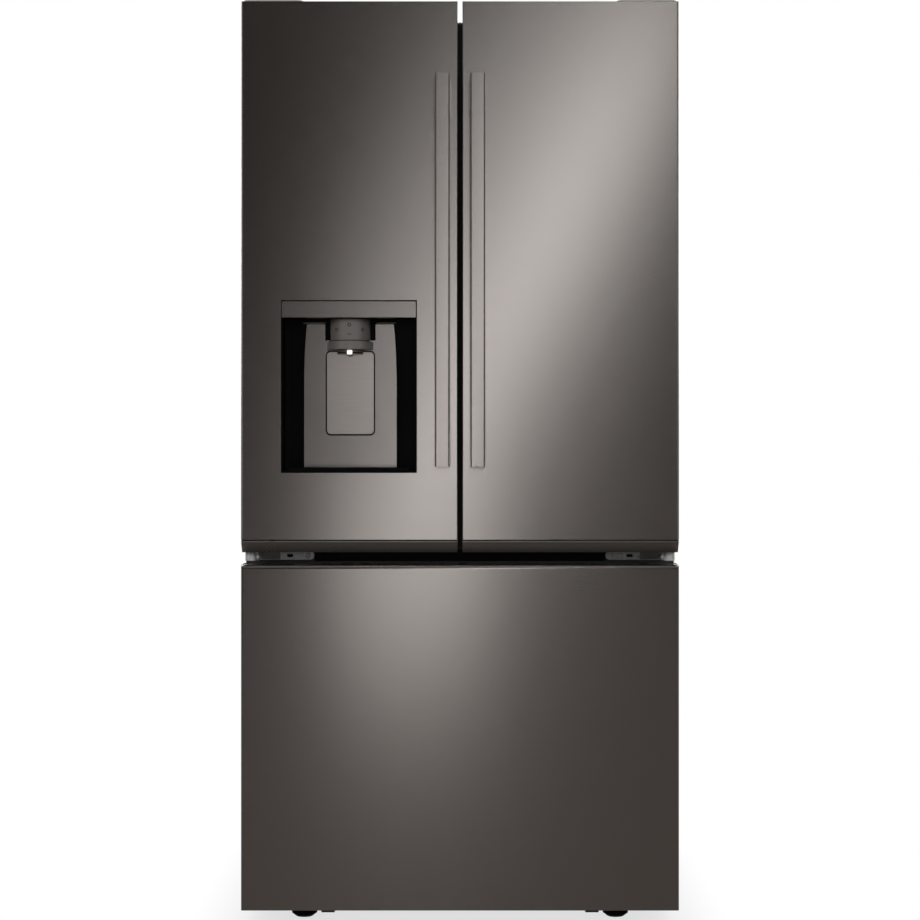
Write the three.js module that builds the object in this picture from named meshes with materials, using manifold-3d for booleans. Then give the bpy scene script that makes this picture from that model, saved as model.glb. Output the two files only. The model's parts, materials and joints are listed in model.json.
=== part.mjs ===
// French door refrigerator with a bottom freezer drawer and a water dispenser in the left door.
// Millimetres, +Z up, front towards -Y, origin on the floor under the middle of the footprint.
// Pieces of the left half lie at negative x; the right half is the same shape mirrored in x.

import * as THREE from 'three';
import { mergeVertices } from 'three/addons/utils/BufferGeometryUtils.js';
import Module from 'manifold-3d';

const wasm = await Module();
wasm.setup();

// Overall sizes
const HALF_WIDTH = 416;
const HANDLE_FRONT = -449;
const DOOR_FRONT = -385;
const DOOR_BACK = -297;
const CASE_FRONT = -283;
const CASE_REAR = 441;
const PAD_REAR = 449;
const CASE_BOTTOM = 36;
const CASE_TOP = 1743;
const DOOR_TOP = 1765;
const COVER_TOP = 1772;

// Sheet, play between neighbours and the split between the two inner liners
const SHEET = 1.2;
const PLAY = 0.3;
const LINER_SPLIT = 718;

// The two cold compartments, measured inside
const CAVITY_HALF = 371;
const CAVITY_RADIUS = 18;
const FRESH = { bottom: 765, top: 1693, rear: 360 };
const FREEZER = { bottom: 90, top: 672, rear: 215 };
const MACHINE = { bottom: 60, top: 265, front: 250 };
const EVAPORATOR_POCKET = { half: 330, bottom: 285, top: 640, rear: 290 };

// Doors, their hinge line and the raised inner frame (dike) that holds the bins
const DOOR_INNER_EDGE = 4.5;
const DOOR_FOLD = { side: 4, middle: 1.6 };
const SKIN_BOTTOM = 742.5;
const CAP_BOTTOM = 718;
const HINGE = [-402, -340];
const HINGE_PIN = 5;
const DIKE = { x: [-362, -56], z: [778, 1682], back: -245, wall: 12 };
const GASKET = { outer: 386.5, inner: 14, width: 15, bottom: 747, top: 1711 };
const BIN = { x: [-349, -69], y: [-296.5, -205], wall: 2.5 };
const ICE = { x: [-352, -66], z: [1238, 1682], back: -212, wall: 14 };

// Flap on the left door that seals the gap between the doors; it is folded back when at rest
const FLAP_PIVOT = [-44, -272.7];
const FLAP = { x: [-52, -34], y: [-261.7, -195.7], z: [790, 1668] };

// Handle bars
const HANDLE = { x: [-47, -19.5], z: [882, 1618], thickness: 18, post: 71 };

// Dispenser recess in the left door
const SPOUT_X = -211;
const RECESS = { x: [-337, -85], z: [872.5, 1164], back: -312 };
const DISPENSER_TOP = 1197;
const DISPENSER_RIM = 2.6;
const COLUMN = { half: 89, topHalf: 83.5, z: [878, 1155], front: -328, taper: 105 };
const PADDLE = { half: 45, z: [944, 1101.8], thickness: 6, pivot: [-318, 1098] };
const HEAD_Y = -331;

// Freezer drawer, its slides and its containers
const DRAWER = { bottom: 38.5, top: 695, edge: 8 };
const FINGER_POCKET = { half: 400, y: [-371, -320], depth: 30 };
const SLIDE = { arm: [340, 352], middle: [353.5, 360], z: [235, 265], rear: 180 };
const BASKET = { half: 335, y: [-258, 165], z: [110, 400], wall: 3 };
const TRAY = { half: 334, y: [-250, 85], z: [402, 540], wall: 2.5 };

// Feet and rollers
const LEG = { x: -305, y: -245, radius: 23.5, disc: 18 };
const FRONT_ROLLER = { x: -260, y: -225, radius: 15, height: 17, half: 13 };
const REAR_ROLLER = { x: -330, y: 400, radius: 17, height: 17, half: 13 };
const AXLE = 3;

// Pressed pads at the top of the rear sheet that keep the case off the wall
const WALL_PAD = { x: [300, 360], z: [1560, 1640], radius: 12 };

// ---------- Materials ----------

function finish(color, roughness, metalness) {
  return new THREE.MeshStandardMaterial({ color, roughness, metalness });
}

const darkSteel = finish(0x8b8581, 0.34, 1);
const casePaint = finish(0x47474a, 0.5, 0.3);
const linerWhite = finish(0xe6e9ea, 0.4, 0);
const darkPlastic = finish(0x2c2a29, 0.5, 0);
const blackPlastic = finish(0x121213, 0.35, 0);
const sealRubber = finish(0x1c1c1d, 0.8, 0);
const zincSteel = finish(0xb4b6b7, 0.4, 1);
const satinGrey = finish(0x6f6b68, 0.4, 0.6);
const shelfGlass = finish(0xcfe0de, 0.1, 0);
const clearPlastic = finish(0xd9e4e6, 0.15, 0);
const finAluminium = finish(0xc9cbcc, 0.45, 1);
const blackPaint = finish(0x161617, 0.4, 0.2);

// ---------- Solids ----------

// Turns a closed three.js geometry into a solid that can be joined and cut.
function solid(geometry) {
  geometry.deleteAttribute('normal');
  geometry.deleteAttribute('uv');
  const merged = mergeVertices(geometry);
  const index = merged.index.array;
  const corners = [];
  for (let i = 0; i < index.length; i += 3) {
    const [a, b, c] = [index[i], index[i + 1], index[i + 2]];
    if (a !== b && b !== c && c !== a) corners.push(a, b, c);
  }
  const vertProperties = Float32Array.from(merged.attributes.position.array);
  const triVerts = Uint32Array.from(corners);
  return new wasm.Manifold(new wasm.Mesh({ numProp: 3, vertProperties, triVerts }));
}

function join(first, ...others) {
  return others.reduce((whole, piece) => whole.add(piece), first);
}

function cut(first, ...tools) {
  return tools.reduce((rest, tool) => rest.subtract(tool), first);
}

// A box between two limits on each axis.
function box([x0, x1], [y0, y1], [z0, z1]) {
  const geometry = new THREE.BoxGeometry(x1 - x0, y1 - y0, z1 - z0);
  return solid(geometry.translate((x0 + x1) / 2, (y0 + y1) / 2, (z0 + z1) / 2));
}

// A rectangle with round corners between two limits on each of its axes.
function roundedRect([u0, u1], [v0, v1], radius) {
  const shape = new THREE.Shape();
  const quarter = Math.PI / 2;
  shape.absarc(u1 - radius, v0 + radius, radius, -quarter, 0);
  shape.absarc(u1 - radius, v1 - radius, radius, 0, quarter);
  shape.absarc(u0 + radius, v1 - radius, radius, quarter, 2 * quarter);
  shape.absarc(u0 + radius, v0 + radius, radius, 2 * quarter, 3 * quarter);
  return shape;
}

function polygon(points) {
  return new THREE.Shape(points.map(([u, v]) => new THREE.Vector2(u, v)));
}

function extrude(shape, depth, segments) {
  return new THREE.ExtrudeGeometry(shape, { depth, bevelEnabled: false, curveSegments: segments });
}

// An outline in x and y, standing between two heights.
function prismZ(shape, [z0, z1], segments = 2) {
  return solid(extrude(shape, z1 - z0, segments).translate(0, 0, z0));
}

// An outline in x and z, reaching from front to back.
function prismY(shape, [y0, y1], segments = 2) {
  return solid(extrude(shape, y1 - y0, segments).rotateX(Math.PI / 2).translate(0, y1, 0));
}

// An outline in y and z, reaching from left to right.
function prismX(shape, [x0, x1], segments = 2) {
  const toSide = new THREE.Matrix4().makeBasis(
    new THREE.Vector3(0, 1, 0),
    new THREE.Vector3(0, 0, 1),
    new THREE.Vector3(1, 0, 0),
  );
  return solid(extrude(shape, x1 - x0, segments).applyMatrix4(toSide).translate(x0, 0, 0));
}

function cylinderZ([x, y], radius, [z0, z1], sides = 24) {
  const geometry = new THREE.CylinderGeometry(radius, radius, z1 - z0, sides);
  return solid(geometry.rotateX(Math.PI / 2).translate(x, y, (z0 + z1) / 2));
}

function cylinderX([y, z], radius, [x0, x1], sides = 24) {
  const geometry = new THREE.CylinderGeometry(radius, radius, x1 - x0, sides);
  return solid(geometry.rotateZ(Math.PI / 2).translate((x0 + x1) / 2, y, z));
}

// A turned piece standing on z; the profile lists radius and height from the bottom up.
function turned([x, y], profile, sides) {
  const points = profile.map(([radius, height]) => new THREE.Vector2(radius, height));
  const geometry = new THREE.LatheGeometry(points, sides);
  return solid(geometry.rotateX(Math.PI / 2).translate(x, y, 0));
}

// A tub: a block with an equal wall on four sides and on its floor, open at the top.
function openBox([x0, x1], [y0, y1], [z0, z1], wall, radius) {
  const outer = prismZ(roundedRect([x0, x1], [y0, y1], radius), [z0, z1], 1);
  const hollow = roundedRect([x0 + wall, x1 - wall], [y0 + wall, y1 - wall], radius - wall);
  return cut(outer, prismZ(hollow, [z0 + wall, z1 + 1], 1));
}

// A named mesh of one solid.
function piece(name, body, material) {
  const { vertProperties, triVerts } = body.getMesh();
  const geometry = new THREE.BufferGeometry();
  geometry.setAttribute('position', new THREE.BufferAttribute(vertProperties, 3));
  geometry.setIndex(new THREE.BufferAttribute(triVerts, 1));
  geometry.computeVertexNormals();
  const mesh = new THREE.Mesh(geometry, material);
  mesh.name = name;
  return mesh;
}

// ---------- Cabinet ----------

function cavityOutline(cavity) {
  return roundedRect([-CAVITY_HALF, CAVITY_HALF], [cavity.bottom, cavity.top], CAVITY_RADIUS);
}

// Two ears under the case hold the axle of one roller.
function rollerEars(roller, sign) {
  const outer = roller.half + 4;
  const ears = [-outer - 2, outer].map((offset) => {
    const x = sign * roller.x + offset;
    const y = [roller.y - 9, roller.y + 9];
    const ear = box([x, x + 2], y, [roller.height - 8, CASE_BOTTOM + SHEET / 2]);
    return cut(ear, cylinderX([roller.y, roller.height], AXLE + 1, [x - 1, x + 3], 8));
  });
  return join(...ears);
}

function cabinetShell() {
  const outside = box([-HALF_WIDTH, HALF_WIDTH], [CASE_FRONT, CASE_REAR], [CASE_BOTTOM, CASE_TOP]);
  const inside = box(
    [SHEET - HALF_WIDTH, HALF_WIDTH - SHEET],
    [CASE_FRONT + SHEET, CASE_REAR - SHEET],
    [CASE_BOTTOM + SHEET, CASE_TOP - SHEET],
  );
  const front = [CASE_FRONT - 1, CASE_FRONT + 2 * SHEET];
  const windows = [FRESH, FREEZER].map((cavity) => prismY(cavityOutline(cavity), front));
  const machineDoor = box(
    [-CAVITY_HALF, CAVITY_HALF],
    [CASE_REAR - 2 * SHEET, CASE_REAR + 1],
    [MACHINE.bottom + 2, MACHINE.top],
  );
  const ears = [FRONT_ROLLER, REAR_ROLLER].flatMap((roller) => [
    rollerEars(roller, 1),
    rollerEars(roller, -1),
  ]);
  const pads = [WALL_PAD.x, [-WALL_PAD.x[1], -WALL_PAD.x[0]]].map(
    (x) => prismY(roundedRect(x, WALL_PAD.z, WALL_PAD.radius), [CASE_REAR - SHEET, PAD_REAR], 4),
  );
  return join(cut(outside, inside, ...windows, machineDoor), ...ears, ...pads);
}

// The foamed wall block between the case and a compartment, with the compartment cut into it.
function linerBlock(cavity, z) {
  const inset = SHEET + PLAY;
  const block = box([inset - HALF_WIDTH, HALF_WIDTH - inset], [CASE_FRONT + inset, CASE_REAR - inset], z);
  return cut(block, prismY(cavityOutline(cavity), [CASE_FRONT - 1, cavity.rear], 3));
}

function freshFoodLiner() {
  return linerBlock(FRESH, [LINER_SPLIT + PLAY, CASE_TOP - SHEET - PLAY]);
}

// The freezer liner also holds the evaporator, the drawer rails and the machine space.
function freezerLiner() {
  const block = linerBlock(FREEZER, [CASE_BOTTOM + SHEET + PLAY, LINER_SPLIT - PLAY]);
  const pocket = box(
    [-EVAPORATOR_POCKET.half, EVAPORATOR_POCKET.half],
    [FREEZER.rear - 1, EVAPORATOR_POCKET.rear],
    [EVAPORATOR_POCKET.bottom, EVAPORATOR_POCKET.top],
  );
  const machine = box(
    [-CAVITY_HALF, CAVITY_HALF],
    [MACHINE.front, CASE_REAR],
    [MACHINE.bottom, MACHINE.top],
  );
  const rails = [-1, 1].map((side) => {
    const x = [side * (SLIDE.middle[1] + 1), side * (CAVITY_HALF + 1)].sort((a, b) => a - b);
    return box(x, [CASE_FRONT + 13, SLIDE.rear], [SLIDE.z[0] - 3, SLIDE.z[1] + 3]);
  });
  return join(cut(block, pocket, machine), ...rails);
}

// Louvred cover of the machine space, with the cord gland and the water inlet beside the louvres.
function rearCover() {
  const y = [CASE_REAR - 2.5, CASE_REAR - PLAY];
  const plate = box([-370, 370], y, [MACHINE.bottom + 3, MACHINE.top - 1]);
  const louvres = [];
  for (let column = 0; column < 2; column += 1) {
    for (let row = 0; row < 5; row += 1) {
      const x = -330 + column * 350;
      const z = 90 + row * 32;
      louvres.push(box([x, x + 310], [y[0] - 1, y[1] + 1], [z, z + 12]));
    }
  }
  const back = [y[1] - 1, PAD_REAR - 1];
  const cordGland = prismY(roundedRect([340, 362], [228, 250], 11), back, 6);
  const waterInlet = prismY(roundedRect([-360, -340], [230, 250], 10), back, 6);
  return join(cut(plate, ...louvres), cordGland, waterInlet);
}

function compressor() {
  const body = turned([220, 350], [
    [0, 74], [62, 82], [75, 105], [75, 163], [78, 163], [78, 170],
    [75, 170], [75, 192], [68, 220], [40, 240], [0, 245],
  ], 20);
  const base = box([140, 300], [300, 400], [72, 78]);
  const feet = [[152, 312], [288, 312], [152, 388], [288, 388]].map(
    (centre) => cylinderZ(centre, 9, [MACHINE.bottom + PLAY, 74], 8),
  );
  return join(body, base, ...feet);
}

// A block of fins: grooves cut in turn from the front and the back.
function finnedBlock(x, y, z, grooves) {
  const pitch = (x[1] - x[0]) / grooves;
  const slots = [];
  for (let i = 0; i < grooves; i += 1) {
    const start = x[0] + (i + 0.3) * pitch;
    slots.push(box([start, start + 0.4 * pitch], [y[0] - 1, y[1] - 14], [z[0] - 1, z[1] + 1]));
  }
  return cut(box(x, y, z), ...slots);
}

function condenserFan() {
  const [y, z] = [350, 155];
  const hub = cylinderX([y, z], 20, [-74, -46], 16);
  const blades = [0, 1, 2, 3, 4].map((i) => {
    const blade = new THREE.BoxGeometry(4, 26, 56);
    blade.rotateZ(THREE.MathUtils.degToRad(35)).translate(0, 0, 42);
    return solid(blade.rotateX((i * 2 * Math.PI) / 5).translate(-60, y, z));
  });
  return join(hub, ...blades);
}

function evaporatorCover() {
  const plate = prismY(roundedRect([-340, 340], [275, 650], 10), [188, FREEZER.rear - 0.5]);
  const recess = box([-334, 334], [194, FREEZER.rear], [281, 644]);
  const vents = [];
  for (const z of [292, 600, 618]) {
    for (let i = 0; i < 3; i += 1) {
      const x = -270 + i * 190;
      vents.push(box([x, x + 160], [180, 200], [z, z + 9]));
    }
  }
  return cut(plate, recess, ...vents);
}

// ---------- Fresh food compartment ----------

// A glass shelf in a frame, carried from the rear wall by two brackets.
function shelf(x, front, height) {
  const rear = FRESH.rear - 2;
  const slab = prismZ(roundedRect(x, [front, 330], 8), [height, height + 16]);
  const under = box([x[0] + 14, x[1] - 14], [front + 14, 316], [height - 1, height + 11]);
  const profile = polygon([
    [front + 60, height + 2], [front + 60, height - 4], [300, height - 26], [rear, height - 26],
    [rear, height + 14], [320, height + 14], [320, height + 2],
  ]);
  const brackets = [x[0] + 4, x[1] - 7].map((start) => prismX(profile, [start, start + 3]));
  return join(cut(slab, under), ...brackets);
}

function crisperCover() {
  const slab = prismZ(roundedRect([-366, 366], [-170, 345], 8), [968, 984]);
  const under = box([-352, 352], [-156, 331], [960, 979]);
  const divider = box([-6, 6], [-160, 335], [966, 981]);
  return join(cut(slab, under), divider);
}

function crisper() {
  const tub = openBox([-360, -12], [-125, 325], [772, 960], 3, 16);
  const grip = prismX(
    polygon([[-126, 958], [-136, 958], [-136, 948], [-133, 948], [-133, 955], [-124, 955]]),
    [-280, -92],
  );
  const front = box([-360, -12], [-126, -120], [930, 960]);
  return join(tub, cut(front, box([-357, -15], [-122, -119], [929, 961])), grip);
}

// ---------- Hinges ----------

function topHinge() {
  const base = box([-405, -330], [-270, -190], [CASE_TOP + PLAY, CASE_TOP + 4]);
  const riser = box([-411, -380], [-270, -262], [CASE_TOP + PLAY, DOOR_TOP + 4]);
  const arm = box([-411, -392], [HINGE[1] - 12, -262], [DOOR_TOP + 0.5, DOOR_TOP + 4]);
  const pin = cylinderZ(HINGE, HINGE_PIN, [CASE_TOP - 1, DOOR_TOP + 2], 12);
  return join(base, riser, arm, pin);
}

// The cover bridges from the case top to the door top and is open underneath.
function hingeCover() {
  const x = [-414, -300];
  const inner = [-412.5, -301.5];
  const low = CASE_TOP + PLAY;
  const step = DOOR_TOP + 0.6;
  const roof = COVER_TOP - 1.5;
  const outside = join(
    prismZ(roundedRect(x, [-362, -170], 10), [step, COVER_TOP]),
    prismZ(roundedRect(x, [-286, -170], 10), [low, COVER_TOP]),
  );
  const inside = join(
    prismZ(roundedRect(inner, [-360.5, -171.5], 8.5), [step - 1, roof], 1),
    prismZ(roundedRect(inner, [-284.5, -171.5], 8.5), [low - 1, roof], 1),
  );
  return cut(outside, inside);
}

// Bracket between door and drawer: a screwed plate, an arm and the pin of the door above.
function midHinge() {
  const plate = prismY(roundedRect([-411, -283], [700, 717], 8), [CASE_FRONT - 3.3, CASE_FRONT - PLAY]);
  const arm = box([-411, -385], [HINGE[1], CASE_FRONT - 1], [706, 711]);
  const knuckle = cylinderZ(HINGE, 10, [701, CAP_BOTTOM - 1], 32);
  const pin = cylinderZ(HINGE, HINGE_PIN, [705, 738], 12);
  const rib = box([-391, -388], [HINGE[1] + 12, CASE_FRONT - 1], [701, 717]);
  const boss = prismY(roundedRect([-306, -284.5], [701.5, 715.5], 6.9), [-289, CASE_FRONT - 1]);
  const tab = prismY(roundedRect([-345, -300], [702, 712], 3), [-288, CASE_FRONT - 1], 1);
  return join(plate, arm, knuckle, pin, rib, boss, tab);
}

// ---------- Feet ----------

function levelingLeg() {
  const disc = [[0, 0], [16, 0], [LEG.radius, 6], [LEG.radius, 14], [20, LEG.disc]];
  const stem = [[6, LEG.disc], [6, CASE_BOTTOM - PLAY], [0, CASE_BOTTOM - PLAY]];
  return turned([LEG.x, LEG.y], [...disc, ...stem], 20);
}

function roller({ x, y, radius, height, half }) {
  const rim = prismX(roundedRect([y - radius, y + radius], [height - radius, height + radius], radius), [
    x - half, x + half,
  ], 5);
  return join(rim, cylinderX([y, height], AXLE, [x - half - 7, x + half + 7], 8));
}

// ---------- Doors ----------

// Outline of the steel face of a door, with a wide fold at the side and a tight one at the middle.
function doorOutline(inset, back) {
  const quarter = Math.PI / 2;
  const front = DOOR_FRONT + inset;
  const [side, middle] = [inset - HALF_WIDTH, -DOOR_INNER_EDGE - inset];
  const [wide, tight] = [DOOR_FOLD.side - inset, DOOR_FOLD.middle - inset];
  const shape = new THREE.Shape();
  shape.absarc(middle - tight, front + tight, tight, -quarter, 0);
  shape.lineTo(middle, back);
  shape.lineTo(side, back);
  shape.absarc(side + wide, front + wide, wide, 2 * quarter, 3 * quarter);
  return shape;
}

// Steel face of a door, folded back along both sides.
function doorSkin() {
  const outside = prismZ(doorOutline(0, DOOR_BACK + 20), [SKIN_BOTTOM, DOOR_TOP], 4);
  const inside = prismZ(doorOutline(SHEET, DOOR_BACK + 30), [SKIN_BOTTOM - 1, DOOR_TOP + 1], 4);
  const behind = box([-500, 0], [DOOR_BACK, DOOR_BACK + 50], [SKIN_BOTTOM - 1, DOOR_TOP + 1]);
  return cut(outside, inside, behind);
}

// Opening for the dispenser through the steel face and the foam behind it.
function dispenserOpening() {
  const rim = DISPENSER_RIM + 0.4;
  const x = [RECESS.x[0] - rim, RECESS.x[1] + rim];
  const z = [RECESS.z[0] - rim, DISPENSER_TOP + 0.4];
  const well = [SPOUT_X - 50.4, SPOUT_X + 50.4];
  return join(
    box(x, [DOOR_FRONT - 5, RECESS.back + 3], z),
    box(well, [DOOR_FRONT - 5, -301.8], [PADDLE.z[0] - 6.4, PADDLE.z[1] + 5.6]),
  );
}

// Foamed door body with the dike around the bin space and the bore for the upper hinge pin.
function doorPanel() {
  const inset = SHEET + PLAY;
  const core = prismZ(
    roundedRect([inset - HALF_WIDTH, -DOOR_INNER_EDGE - inset], [DOOR_FRONT + inset, DOOR_BACK], 2.7),
    [SKIN_BOTTOM + PLAY, DOOR_TOP - PLAY],
  );
  const dike = prismY(roundedRect(DIKE.x, DIKE.z, 16), [DOOR_BACK - 2, DIKE.back]);
  const hollow = roundedRect(
    [DIKE.x[0] + DIKE.wall, DIKE.x[1] - DIKE.wall], [DIKE.z[0] + DIKE.wall, DIKE.z[1] - DIKE.wall], 6,
  );
  const ring = cut(dike, prismY(hollow, [DOOR_BACK, DIKE.back + 1]));
  const bore = cylinderZ(HINGE, HINGE_PIN + 1, [CASE_TOP - 3, DOOR_TOP + 1], 12);
  return cut(join(core, ring), bore);
}

// Two lugs on the dike carry the pivot pins of the sealing flap.
function flapLugs() {
  return [[FLAP.z[0] - 14, FLAP.z[0] - 2], [FLAP.z[1] + 2, FLAP.z[1] + 14]].map((z) => {
    const lug = box([DIKE.x[1] - 4, -38], [-279, -266], z);
    return cut(lug, cylinderZ(FLAP_PIVOT, 3.4, [z[0] - 1, z[1] + 1], 8));
  });
}

// Insulated frame of the ice compartment, open towards the inside of the refrigerator.
function iceFrame() {
  const inner = [ICE.x[0] + ICE.wall, ICE.x[1] - ICE.wall];
  const hollow = roundedRect(inner, [ICE.z[0] + ICE.wall, ICE.z[1] - ICE.wall], 6);
  const block = prismY(roundedRect(ICE.x, ICE.z, 10), [DOOR_BACK - 2, ICE.back]);
  return cut(block, prismY(hollow, [DOOR_BACK + 7, ICE.back + 1]));
}

function leftDoorPanel() {
  return cut(join(doorPanel(), ...flapLugs(), iceFrame()), dispenserOpening());
}

// Plastic end cap under a door: a shadow groove, then a face that slopes back to the drawer gap.
function doorBottomCap() {
  const top = SKIN_BOTTOM - PLAY;
  const outline = polygon([
    [-380, top], [-380, top - 2], [-384.4, top - 2], [-384.4, top - 4],
    [-366, CAP_BOTTOM], [-300, CAP_BOTTOM], [-300, top],
  ]);
  const bar = prismX(outline, [PLAY - HALF_WIDTH, -DOOR_INNER_EDGE - PLAY]);
  return cut(bar, cylinderZ(HINGE, HINGE_PIN + 1, [CAP_BOTTOM - 1, 740], 12));
}

// A rectangular seal with an equal width all round.
function sealRing(x, z, width) {
  const outer = prismY(roundedRect(x, z, 6), [DOOR_BACK + PLAY, CASE_FRONT - PLAY], 1);
  const hole = roundedRect([x[0] + width, x[1] - width], [z[0] + width, z[1] - width], 4);
  return cut(outer, prismY(hole, [DOOR_BACK - 1, CASE_FRONT + 1], 1));
}

// Door seal, with a flat lip that closes the gap between the two doors.
function doorGasket() {
  const z = [GASKET.bottom, GASKET.top];
  const ring = sealRing([-GASKET.outer, -GASKET.inner], z, GASKET.width);
  const lip = box([-GASKET.inner - 1, -0.75], [DOOR_BACK + PLAY, DOOR_BACK + 2.8], [z[0] + 8, z[1] - 8]);
  return join(ring, lip);
}

// Flat bar on two posts.
function handle() {
  const [x0, x1] = HANDLE.x;
  const [z0, z1] = HANDLE.z;
  const back = HANDLE_FRONT + HANDLE.thickness;
  const bar = prismZ(roundedRect([x0, x1], [HANDLE_FRONT, back], 3), [z0, z1], 3);
  const posts = [[z0, z0 + HANDLE.post], [z1 - HANDLE.post, z1]].map((z) => prismY(
    roundedRect([x0 - 1.3, x1 + 1.3], z, 3), [back - 3, DOOR_FRONT - PLAY], 1,
  ));
  return join(bar, ...posts);
}

function doorBin(z) {
  const tub = openBox(BIN.x, BIN.y, z, BIN.wall, 10);
  const rail = prismZ(roundedRect([BIN.x[0], BIN.x[1]], [BIN.y[1] - 7, BIN.y[1]], 3), [z[1] - 12, z[1]], 1);
  return join(tub, rail);
}

function dairyLid() {
  const plate = prismZ(roundedRect([-348, -70], [-289, -206], 6), [1551, 1553.5]);
  const knuckle = cylinderX([-291, 1553.2], 2.2, [-346, -72], 8);
  const lip = box([-340, -78], [-208.5, -206.2], [1551.5, 1556]);
  return join(plate, knuckle, lip);
}

function iceCompartmentCover() {
  const y = [ICE.back + 1, -187];
  const plate = prismY(roundedRect(ICE.x, [ICE.z[0] + 2, ICE.z[1] - 2], 10), y);
  const latch = box([ICE.x[1] - 26, ICE.x[1] - 8], [y[1] - 8, y[1] + 1], [1430, 1490]);
  return cut(plate, latch);
}

// Sealing flap: folded, it stands front to back beside the dike, on a neck with two pivot pins.
function mullionFlap() {
  const bar = prismZ(roundedRect(FLAP.x, FLAP.y, 3), FLAP.z, 1);
  const neck = box([FLAP_PIVOT[0] - 4, FLAP_PIVOT[0] + 4], [FLAP_PIVOT[1] - 4, FLAP.y[0] + 2], FLAP.z);
  const pins = cylinderZ(FLAP_PIVOT, 2.5, [FLAP.z[0] - 13, FLAP.z[1] + 13], 8);
  return join(bar, neck, pins);
}

// ---------- Dispenser ----------

function dispenserHousing() {
  const rim = DISPENSER_RIM;
  const outer = box(
    [RECESS.x[0] - rim, RECESS.x[1] + rim],
    [DOOR_FRONT + 0.2, RECESS.back + rim],
    [RECESS.z[0] - rim, DISPENSER_TOP],
  );
  const wellOuter = box([SPOUT_X - 50, SPOUT_X + 50], [RECESS.back, -302.2], [938, 1107]);
  const recess = prismY(roundedRect(RECESS.x, RECESS.z, 2), [DOOR_FRONT - 1, RECESS.back], 1);
  const well = box([SPOUT_X - 48, SPOUT_X + 48], [RECESS.back - 2, -304.2], [940, 1105]);
  const trimSeat = box(
    [RECESS.x[0] - 1.8, RECESS.x[1] + 1.8],
    [DOOR_FRONT - 1, DOOR_FRONT + 1.1],
    [RECESS.z[1] - 1, DISPENSER_TOP - 1.2],
  );
  return cut(join(outer, wellOuter), recess, well, trimSeat);
}

function dispenserTrim() {
  const outline = roundedRect(
    [RECESS.x[0] - 1.5, RECESS.x[1] + 1.5], [RECESS.z[1] + 0.4, DISPENSER_TOP - 1.8], 1.5,
  );
  return prismY(outline, [DOOR_FRONT - 2, DOOR_FRONT + 0.8], 1);
}

// Column plate behind the paddle; its top corners draw in along a soft curve.
function dispenserBackPanel() {
  const [z0, z1] = COLUMN.z;
  const outline = new THREE.Shape();
  outline.moveTo(SPOUT_X - COLUMN.half, z0);
  outline.lineTo(SPOUT_X + COLUMN.half, z0);
  outline.lineTo(SPOUT_X + COLUMN.half, z1 - COLUMN.taper);
  outline.quadraticCurveTo(SPOUT_X + COLUMN.half - 0.5, z1 - 50, SPOUT_X + COLUMN.topHalf, z1);
  outline.lineTo(SPOUT_X - COLUMN.topHalf, z1);
  outline.quadraticCurveTo(
    SPOUT_X - COLUMN.half + 0.5, z1 - 50, SPOUT_X - COLUMN.half, z1 - COLUMN.taper,
  );
  const plate = prismY(outline, [COLUMN.front, RECESS.back - PLAY], 5);
  const notch = box([SPOUT_X - 48.5, SPOUT_X + 48.5], [-340, -300], [1124, z1 + 1]);
  const width = [SPOUT_X - PADDLE.half - 1.5, SPOUT_X + PADDLE.half + 1.5];
  const window = roundedRect(width, [PADDLE.z[0] - 2, PADDLE.z[1] + 1.7], 9);
  const sockets = cylinderX(PADDLE.pivot, 2.8, [width[0] - 4, width[1] + 4], 8);
  return cut(plate, notch, prismY(window, [-340, -300]), sockets);
}

function dispenserPaddle() {
  const { half, z, thickness, pivot } = PADDLE;
  const plate = prismY(
    roundedRect([SPOUT_X - half, SPOUT_X + half], z, 7.5), [COLUMN.front, COLUMN.front + thickness],
  );
  const spine = box([SPOUT_X - half + 6, SPOUT_X + half - 6], [COLUMN.front + 2, pivot[0] + 1.5], [1095, 1101]);
  return join(plate, spine, cylinderX(pivot, 2, [SPOUT_X - half - 4, SPOUT_X + half + 4], 8));
}

// Outline of a half disc that faces the front, on a rectangular root.
function halfDisc(radius, root) {
  const shape = new THREE.Shape();
  shape.absarc(SPOUT_X, HEAD_Y, radius, Math.PI, 2 * Math.PI);
  shape.lineTo(SPOUT_X + radius, HEAD_Y + root);
  shape.lineTo(SPOUT_X - radius, HEAD_Y + root);
  return shape;
}

function dispenserHead() {
  const top = RECESS.z[1] - PLAY;
  const upper = prismZ(halfDisc(38, 18.5), [1125, top], 12);
  const lip = prismZ(halfDisc(38, 2.5), [1123, 1126], 12);
  const neck = prismZ(halfDisc(34, 2.5), [1120, 1124], 12);
  const core = prismZ(halfDisc(37, 2.5), [1105, 1121], 12);
  const spout = prismZ(halfDisc(24, 2.5), [1097, 1106], 10);
  const nozzle = cylinderZ([SPOUT_X, HEAD_Y - 12], 5, [1093, 1098], 10);
  return join(upper, lip, neck, core, spout, nozzle);
}

// Half ring around the head that is pressed towards the door.
function dispenserButton() {
  const ring = prismZ(halfDisc(44, 0.01), [1105.4, 1120.7], 12);
  return cut(ring, prismZ(halfDisc(40.5, 5), [1100, 1125], 12));
}

function dripTray() {
  const floor = RECESS.z[0] + 0.4;
  const plate = prismZ(roundedRect([-330, -92], [-381, -334], 4), [floor, floor + 5.6]);
  const slots = [];
  for (let i = 0; i < 7; i += 1) {
    const x = SPOUT_X - 106 + i * 30;
    slots.push(box([x, x + 22], [-374, -341], [floor + 2.6, floor + 7]));
  }
  return cut(plate, ...slots);
}

// ---------- Freezer drawer ----------

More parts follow.
